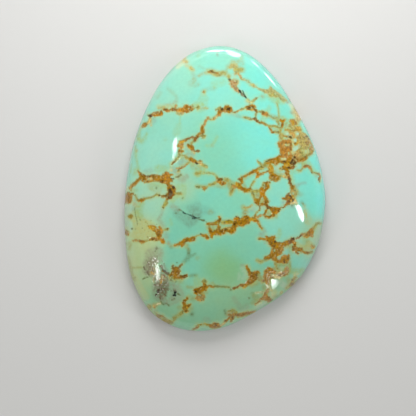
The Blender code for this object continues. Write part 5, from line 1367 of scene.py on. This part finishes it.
backness = 1 - smooth(0.02, 0.30, z)
keep("vein_depth", vein_depth, "FLOAT")
keep("speck_depth", speck_depth, "FLOAT")
keep("vein_and_sparkle_tone", vein_and_sparkle_colour, "FLOAT_COLOR")
keep("speck_tone", speck_colour, "FLOAT_COLOR")
keep("stain_and_light_tone", with_alpha(stain_and_light_colour, stain_and_light_cover), "FLOAT_COLOR")
keep("ground_and_shade_tone", with_alpha(ground, np.ones(len(ground))), "FLOAT_COLOR")
crumble = np.zeros(len(points))
for patch in CRUMBLY:
    near, d = depth_in(patch, u, v, 4.0)
    crumble[near] = np.maximum(crumble[near], smooth(-2.0, 2.5, d))
keep("crumble", crumble, "FLOAT")
keep("backness", backness, "FLOAT")
keep("wallness", 1 - smooth(0.5, 1.9, z), "FLOAT")

# A map for baking: the dome and wall unrolled on one island, the back beside it.
top_run = np.zeros(len(rows) + 2)
previous, length = (0.0, THICKNESS), 0.0
for i, (share, height, k) in enumerate(rows):
    length += math.hypot((share - previous[0]) * RADIUS, height - previous[1])
    previous = (share, height)
    top_run[i + 1] = length
rim_row = max(i for i, r in enumerate(rows) if r[2] == "wall") + 1
spread = top_run / top_run[rim_row]
gx, gy = girdle_at(turns)
front_x = (CROWN[0] * (1 - spread[row_of]) + gx * spread[row_of]) / WIDTH
front_y = (CROWN[1] * (1 - spread[row_of]) + gy * spread[row_of]) / LENGTH
front_uv = np.stack([0.315 + 0.60 * front_x, 0.5 + 0.96 * front_y], 1)
back_uv = np.stack([0.815 - 0.345 * x / WIDTH, 0.5 + 0.345 * WIDTH / LENGTH * (LENGTH / WIDTH) ** 2 * y / LENGTH], 1)
loop_vertex = np.zeros(len(mesh.loops), np.int32)
mesh.loops.foreach_get("vertex_index", loop_vertex)
on_back_face = np.repeat((row_of[faces] > rim_row).any(axis=1), 3)
uv = np.where(on_back_face[:, None], back_uv[loop_vertex], front_uv[loop_vertex])
mesh.uv_layers.new(name="OFBake").data.foreach_set("uv", np.ascontiguousarray(uv, np.float32).ravel())

stone = bpy.data.objects.new("turquoise_cabochon", mesh)
bpy.context.scene.collection.objects.link(stone)


# ---- the finish -----------------------------------------------------------------------------
class Graph:
    def __init__(self, tree):
        self.tree = tree

    def put(self, kind_of, settings=None, **inputs):
        node = self.tree.nodes.new(kind_of)
        for k, val in (settings or {}).items():
            setattr(node, k, val)
        for k, val in inputs.items():
            self.set(node, k, val)
        return node

    def set(self, node, key, val):
        socket = node.inputs[int(key[1:])] if key[0] == "_" and key[1:].isdigit() else node.inputs[key.replace("_", " ")]
        if isinstance(val, bpy.types.NodeSocket):
            self.tree.links.new(val, socket)
        else:
            socket.default_value = val

    def math(self, op, a, b=0.0, c=0.0):
        return self.put("ShaderNodeMath", {"operation": op}, _0=a, _1=b, _2=c).outputs[0]

    def ramp(self, x, low, high, to_low=0.0, to_high=1.0, how="SMOOTHSTEP"):
        return self.put("ShaderNodeMapRange", {"interpolation_type": how}, Value=x, From_Min=low,
                        From_Max=high, To_Min=to_low, To_Max=to_high).outputs[0]

    def mix(self, share, a, b, blend="MIX"):
        node = self.put("ShaderNodeMix", {"data_type": "RGBA", "blend_type": blend})
        self.set(node, "_0", share)
        self.set(node, "_6", a)
        self.set(node, "_7", b)
        return node.outputs[2]

    def noise(self, at, scale, detail=2.0, rough=0.55, lace=2.0, off=(0, 0, 0)):
        where = self.put("ShaderNodeVectorMath", {"operation": "ADD"}, _0=at, _1=off).outputs[0]
        return self.put("ShaderNodeTexNoise", {"noise_dimensions": "3D"}, Vector=where, Scale=scale,
                        Detail=detail, Roughness=rough, Lacunarity=lace).outputs[0]

    def own(self, name):
        node = self.put("ShaderNodeAttribute", {"attribute_type": "GEOMETRY", "attribute_name": name})
        return node.outputs["Color"], node.outputs["Fac"], node.outputs["Alpha"]


mat = bpy.data.materials.new("turquoise_polished")
mat.use_nodes = True
tree = mat.node_tree
bsdf = tree.nodes["Principled BSDF"]
g = Graph(tree)
here = g.put("ShaderNodeTexCoord").outputs["Object"]
mm = g.put("ShaderNodeVectorMath", {"operation": "SCALE"}, _0=here, Scale=1000.0).outputs[0]

back = g.own("backness")[1]
wall = g.own("wallness")[1]
crumbly = g.own("crumble")[1]

# turquoise: cloudy blue and green, with fine chalky grains, on a base tone that darkens towards the bottom, partly as
# painted shade
ground_and_shade_tone = g.own("ground_and_shade_tone")[0]
cloud = g.noise(mm, 0.42, 4.0, 0.55)
drift = g.noise(mm, 0.23, 3.0, 0.5, off=(31, 7, 3))
fine = g.noise(mm, 2.6, 4.0, 0.6, off=(5, 17, 9))
grain = g.noise(mm, 9.0, 2.0, 0.5, off=(2, 4, 8))
body = g.mix(g.ramp(cloud, 0.36, 0.70), ground_and_shade_tone, (1.06, 0.99, 0.95, 1), "MULTIPLY")
body = g.mix(g.ramp(drift, 0.42, 0.70), body, (0.93, 1.0, 1.05, 1), "MULTIPLY")
light = g.ramp(fine, 0.25, 0.75, 0.965, 1.035, "LINEAR")
light = g.math("MULTIPLY", light, g.ramp(grain, 0.3, 0.7, 0.985, 1.015, "LINEAR"))
body = g.put("ShaderNodeVectorMath", {"operation": "SCALE"}, _0=body, Scale=light).outputs[0]
chalk = g.ramp(g.noise(mm, 5.2, 3.0, 0.65, off=(40, 3, 11)), 0.62, 0.78)
body = g.mix(chalk, body, (1.22, 1.05, 1.06, 1), "MULTIPLY")

# stains, and the painted rim light and highlights listed with them
stain_and_light_tone, _, stain_and_light_cover_out = g.own("stain_and_light_tone")
patchy = g.ramp(g.noise(mm, 3.6, 5.0, 0.68, off=(9, 9, 1)), 0.34, 0.66, 0.50, 1.50, "LINEAR")
stain_and_light = g.math("MULTIPLY", stain_and_light_cover_out, patchy)
stain_and_light = g.math("MINIMUM", stain_and_light, 1.0)
body = g.mix(stain_and_light, body, stain_and_light_tone)

# matrix, with the painted sparkle highlights drawn among its strokes
rag = g.math("MULTIPLY", g.math("SUBTRACT", g.noise(mm, 2.7, 3.0, 0.6, off=(13, 1, 6)), 0.5), 2.9)
rag2 = g.math("MULTIPLY", g.math("SUBTRACT", g.noise(mm, 7.0, 3.0, 0.62, off=(1, 23, 5)), 0.5), 4.0)
vein_depth_out = g.own("vein_depth")[1]
ragged = g.math("ADD", g.math("ADD", vein_depth_out, rag), rag2)
vein_and_sparkle_tone, _, vein_opacity = g.own("vein_and_sparkle_tone")
vein = g.ramp(ragged, -0.40, 0.45)
vein = g.math("MULTIPLY", vein, vein_opacity)
tinge = g.ramp(g.noise(mm, 1.7, 4.0, 0.6, off=(7, 27, 4)), 0.36, 0.64, 0.15, 1.0, "LINEAR")
halo = g.math("MULTIPLY", g.math("MULTIPLY", g.ramp(ragged, -4.2, -0.6), vein_opacity), 0.40)
halo = g.math("MULTIPLY", halo, tinge)
body = g.mix(halo, body, (0.46, 0.54, 0.20, 1))
close = g.math("MULTIPLY", g.math("MULTIPLY", g.ramp(ragged, -1.5, 0.1), vein_opacity), 0.55)
body = g.mix(close, body, (0.40, 0.40, 0.11, 1))
mottle = g.noise(mm, 2.5, 3.0, 0.62, off=(3, 3, 19))
lights = g.ramp(mottle, 0.34, 0.66, 0.72, 1.30, "LINEAR")
grains = g.noise(mm, 5.5, 2.0, 0.55, off=(8, 2, 2))
lights = g.math("MULTIPLY", lights, g.ramp(grains, 0.34, 0.66, 0.80, 1.22, "LINEAR"))
matrix = g.put("ShaderNodeVectorMath", {"operation": "SCALE"}, _0=vein_and_sparkle_tone, Scale=lights).outputs[0]
matrix = g.mix(g.ramp(g.noise(mm, 3.4, 2.0, 0.55, off=(21, 5, 2)), 0.56, 0.68, 0.0, 0.60), matrix, (0.50, 0.40, 0.17, 1))
matrix = g.mix(g.ramp(g.noise(mm, 3.3, 2.0, 0.55, off=(2, 35, 7)), 0.575, 0.650, 0.0, 0.75), matrix, (0.11, 0.068, 0.003, 1))
colour = g.mix(vein, body, matrix)

# dark grains and cracks, and painted sparkle highlights
speck_depth_out = g.own("speck_depth")[1]
speck_tone, _, speck_opacity = g.own("speck_tone")
speck_rag = g.math("ADD", g.math("ADD", speck_depth_out, g.math("MULTIPLY", rag, 0.5)), g.math("MULTIPLY", rag2, 0.8))
speck = g.math("MULTIPLY", g.ramp(speck_rag, -0.45, 0.45), speck_opacity)
colour = g.mix(speck, colour, speck_tone)

# the ground, unpolished back is paler and chalkier
dusty = g.ramp(g.noise(mm, 1.6, 5.0, 0.6, off=(6, 6, 6)), 0.3, 0.7, 0.10, 0.26, "LINEAR")
colour = g.mix(g.math("MULTIPLY", back, dusty), colour, (0.62, 0.66, 0.58, 1))

soft_stuff = g.math("MAXIMUM", vein, g.math("MULTIPLY", speck, 0.8))
polish = g.ramp(g.noise(mm, 1.1, 3.0, 0.55, off=(50, 2, 4)), 0.3, 0.7, 0.045, 0.085, "LINEAR")
polish = g.math("ADD", polish, g.math("MULTIPLY", wall, 0.06))
dull = g.ramp(g.noise(mm, 6.0, 3.0, 0.6, off=(4, 14, 4)), 0.3, 0.7, 0.20, 0.42, "LINEAR")
polish = g.math("ADD", polish, g.math("MULTIPLY", crumbly, 0.02))
rough = g.put("ShaderNodeMix", {"data_type": "FLOAT"}, _0=soft_stuff, _2=polish, _3=dull).outputs[0]
rough = g.put("ShaderNodeMix", {"data_type": "FLOAT"}, _0=back, _2=rough, _3=0.46).outputs[0]

# bump, in millimetres: polishing swell, sunken matrix edge, grains, and grinding lines on the back
pits = g.math("MULTIPLY", g.math("MULTIPLY", g.math("SUBTRACT", grains, 0.5), soft_stuff), 0.030)
coarse = g.math("MULTIPLY", g.math("MULTIPLY", g.math("SUBTRACT", mottle, 0.5), soft_stuff), 0.040)
ledge = g.math("MULTIPLY", soft_stuff, -0.010)
height = g.math("ADD", g.math("ADD", pits, coarse), ledge)
skin = g.math("MULTIPLY", g.math("SUBTRACT", fine, 0.5), 0.0004)
height = g.math("ADD", height, skin)
crumbs = g.math("SUBTRACT", g.noise(mm, 3.6, 3.0, 0.6, off=(61, 4, 9)), 0.5)
height = g.math("ADD", height, g.math("MULTIPLY", g.math("MULTIPLY", crumbs, crumbly), 0.014))


def grinding(angle, stretch, seed):
    turned = g.put("ShaderNodeMapping", {"vector_type": "POINT"}, Vector=mm)
    turned.inputs["Rotation"].default_value = (0, 0, math.radians(angle))
    squeezed = g.put("ShaderNodeVectorMath", {"operation": "MULTIPLY"}, _0=turned.outputs[0], _1=(stretch[0], stretch[1], 1.0)).outputs[0]
    return g.noise(squeezed, 1.0, 2.0, 0.6, off=(seed, 0, 0))


lines = g.math("ADD", g.math("SUBTRACT", grinding(18, (0.30, 9.0), 3), 0.5),
               g.math("MULTIPLY", g.math("SUBTRACT", grinding(-52, (0.35, 12.0), 8), 0.5), 0.7))
lines = g.math("ADD", lines, g.math("MULTIPLY", g.math("SUBTRACT", grinding(75, (0.25, 7.0), 5), 0.5), 0.6))
height = g.math("ADD", height, g.math("MULTIPLY", g.math("MULTIPLY", lines, back), 0.012))
bump = g.put("ShaderNodeBump", None, Strength=1.0, Distance=0.001, Height=height)

g.set(bsdf, "Base_Color", colour)
g.set(bsdf, "Roughness", rough)
g.set(bsdf, "Normal", bump.outputs[0])
bsdf.inputs["Metallic"].default_value = 0.0
bsdf.inputs["IOR"].default_value = 1.61
bsdf.inputs["Specular IOR Level"].default_value = 0.36
mesh.materials.append(mat)

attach(stone, "root")
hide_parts("turquoise_stone")

# ---- the floor ------------------------------------------------------------------------------
bpy.ops.mesh.primitive_plane_add(size=3.0, location=(0, 0, -0.00002))
floor = bpy.context.object
floor.name = "studio_floor"
pale = bpy.data.materials.new("pale_floor")
pale.use_nodes = True
pale_bsdf = pale.node_tree.nodes["Principled BSDF"]
pale_bsdf.inputs["Base Color"].default_value = (0.60, 0.60, 0.585, 1)
pale_bsdf.inputs["Roughness"].default_value = 0.75
pale_bsdf.inputs["Specular IOR Level"].default_value = 0.0
floor.data.materials.append(pale)

# ---- the camera -----------------------------------------------------------------------------
camera = bpy.data.objects.new("camera", bpy.data.cameras.new("camera"))
camera.data.sensor_width = 36.0
camera.data.lens = 36.0 * FAR / (PIXELS * PIXEL_MM)
camera.data.clip_start, camera.data.clip_end = 0.01, 10.0
camera.location = Vector(EYE) * MM
camera.rotation_euler = (0, 0, 0)
bpy.context.scene.collection.objects.link(camera)
bpy.context.scene.camera = camera

# ---- the light ------------------------------------------------------------------------------
dome_points, dome_normals = points[on_dome] * MM, normals[on_dome]
dome_u, dome_v = drawn_at(*points[on_dome].T)
eye = np.array(EYE) * MM


def sent_from(pu, pv, distance):
    """Where a mirror at this spot of the dome sends the camera's line of sight."""
    d2 = (dome_u - pu) ** 2 + (dome_v - pv) ** 2
    near = np.argsort(d2)[:24]
    share = np.exp(-d2[near] / 3.0)
    share /= share.sum()
    p, n = share @ dome_points[near], share @ dome_normals[near]
    n /= np.linalg.norm(n)
    d = (p - eye) / np.linalg.norm(p - eye)
    r = d - 2 * (d @ n) * n
    return p + r * distance, r


def panel(name, middle, size, power, facing, along_x=None, colour=(1, 1, 1)):
    light = bpy.data.lights.new(name, "AREA")
    light.shape = "RECTANGLE"
    light.size, light.size_y = size
    light.energy = power
    light.color = colour
    ob = bpy.data.objects.new(name, light)
    back_dir = Vector(facing).normalized()  # from the stone towards the light
    side = Vector(along_x if along_x is not None else (1, 0, 0))
    side = (side - back_dir * side.dot(back_dir)).normalized()
    up = back_dir.cross(side)
    m = Matrix((side, up, back_dir)).transposed().to_4x4()
    m.translation = Vector(middle)
    ob.matrix_world = m
    bpy.context.scene.collection.objects.link(ob)
    return ob


def glint(name, middle, long, short, lean, radiance, distance=0.30, colour=(1, 1, 1)):
    """A soft-box whose reflection on the dome is an ellipse: its middle and half-axes in pixels,
    and how far its long axis leans from upright, clockwise, in degrees."""
    turn = math.radians(lean)
    ring = []
    for k in range(40):
        a = math.tau * k / 40
        s, t = long * math.cos(a), short * math.sin(a)
        ring.append(sent_from(middle[0] + s * math.sin(turn) + t * math.cos(turn),
                              middle[1] - s * math.cos(turn) + t * math.sin(turn), distance)[0])
    ring = np.array(ring)
    centre_of, way = ring.mean(0), sent_from(*middle, distance)[1]
    flat = (ring - centre_of) - np.outer((ring - centre_of) @ way, way)
    size, axes = np.linalg.eigh(flat.T @ flat / len(ring))
    size = 2 * np.sqrt(2 * np.maximum(size[::-1], 1e-12))
    area = math.pi / 4 * size[0] * size[1]
    ob = panel(name, centre_of, (size[0], size[1]), radiance * area * math.pi, way, along_x=axes[:, 2], colour=colour)
    ob.data.shape = "ELLIPSE"
    print("glint", name, "at", np.round(centre_of, 3).tolist(), "size", np.round(size[:2], 4).tolist())
    return ob


glint("strip_left", (175.0, 144.6), 6.4, 2.6, -2.0, 22.0)
glint("strip_left_low", (173.0, 155.4), 3.8, 0.8, 6.0, 18.0)
glint("strip_lower_left", (156.4, 272.6), 9.8, 1.5, 5.0, 36.0)
glint("strip_right", (299.4, 211.9), 10.4, 2.5, -20.0, 26.0)
glint("strip_lower_right", (272.6, 281.6), 7.0, 2.5, 0.0, 28.0)

def rim_card(name, middle, long, short, lean, radiance):
    """A small white card close to the rim, there for its mirror image only."""
    ob = glint(name, middle, long, short, lean, radiance, distance=0.006)
    ob.visible_diffuse = False
    ob.visible_camera = False


rim_card("rim_top", (214.5, 49.2), 10.0, 3.4, 88.0, 15.0)
rim_card("rim_corner", (232.2, 52.2), 8.5, 4.0, 112.0, 11.0)
rim_card("rim_right_1", (257.0, 63.6), 10.0, 2.6, 127.0, 16.0)
rim_card("rim_right_2", (272.0, 79.6), 12.5, 2.6, 138.0, 15.0)
rim_card("rim_right_3", (285.4, 97.0), 8.5, 2.4, 148.0, 12.0)

# a low, wide window beyond the narrow end: it whitens that end's rim
def low_window(name, azimuth, wide, low_edge, high_edge, radiance, distance=0.40):
    """A panel spanning these angles (degrees) as seen from the stone."""
    a, e = math.radians(azimuth), math.radians((low_edge + high_edge) / 2)
    way = Vector((math.cos(a) * math.cos(e), math.sin(a) * math.cos(e), math.sin(e)))
    size = (2 * distance * math.tan(math.radians(wide / 2)), 2 * distance * math.tan(math.radians((high_edge - low_edge) / 2)))
    middle = Vector((2.5 * MM * math.cos(a), 15 * MM * math.sin(a), 3 * MM)) + way * distance
    return panel(name, middle, size, radiance * size[0] * size[1] * math.pi, way, along_x=(-math.sin(a), math.cos(a), 0))


low_window("window", 90.0, 70.0, 0.5, 3.5, 5.0)

# the key: a soft light close over the narrow end, too near and broad to mirror as a shape
key_at = Vector((0.002, 0.062, 0.060))
key = panel("key", key_at, (0.06, 0.04), 0.0585, key_at - Vector((0, 0, 0.004)))
key.visible_glossy = False

# a weak, low fill from the long flat side, for that side's slope and rim
fill_at = Vector((-0.33, -0.10, 0.075))
fill = panel("fill", fill_at, (0.20, 0.10), 0.11, fill_at)
fill.visible_glossy = False

world = bpy.data.worlds.new("studio")
bpy.context.scene.world = world
world.use_nodes = True
wt = world.node_tree
background = wt.nodes["Background"]
w = Graph(wt)
path = w.put("ShaderNodeLightPath")
strength = w.put("ShaderNodeMix", {"data_type": "FLOAT"}, _0=path.outputs["Is Glossy Ray"], _2=0.456, _3=0.04).outputs[0]
background.inputs["Color"].default_value = (1.0, 0.995, 0.985, 1)
w.set(background, "Strength", strength)

scene = bpy.context.scene
scene.view_settings.view_transform = "Standard"
scene.view_settings.look = "None"
scene.view_settings.exposure = 0.0
scene.view_settings.gamma = 1.0
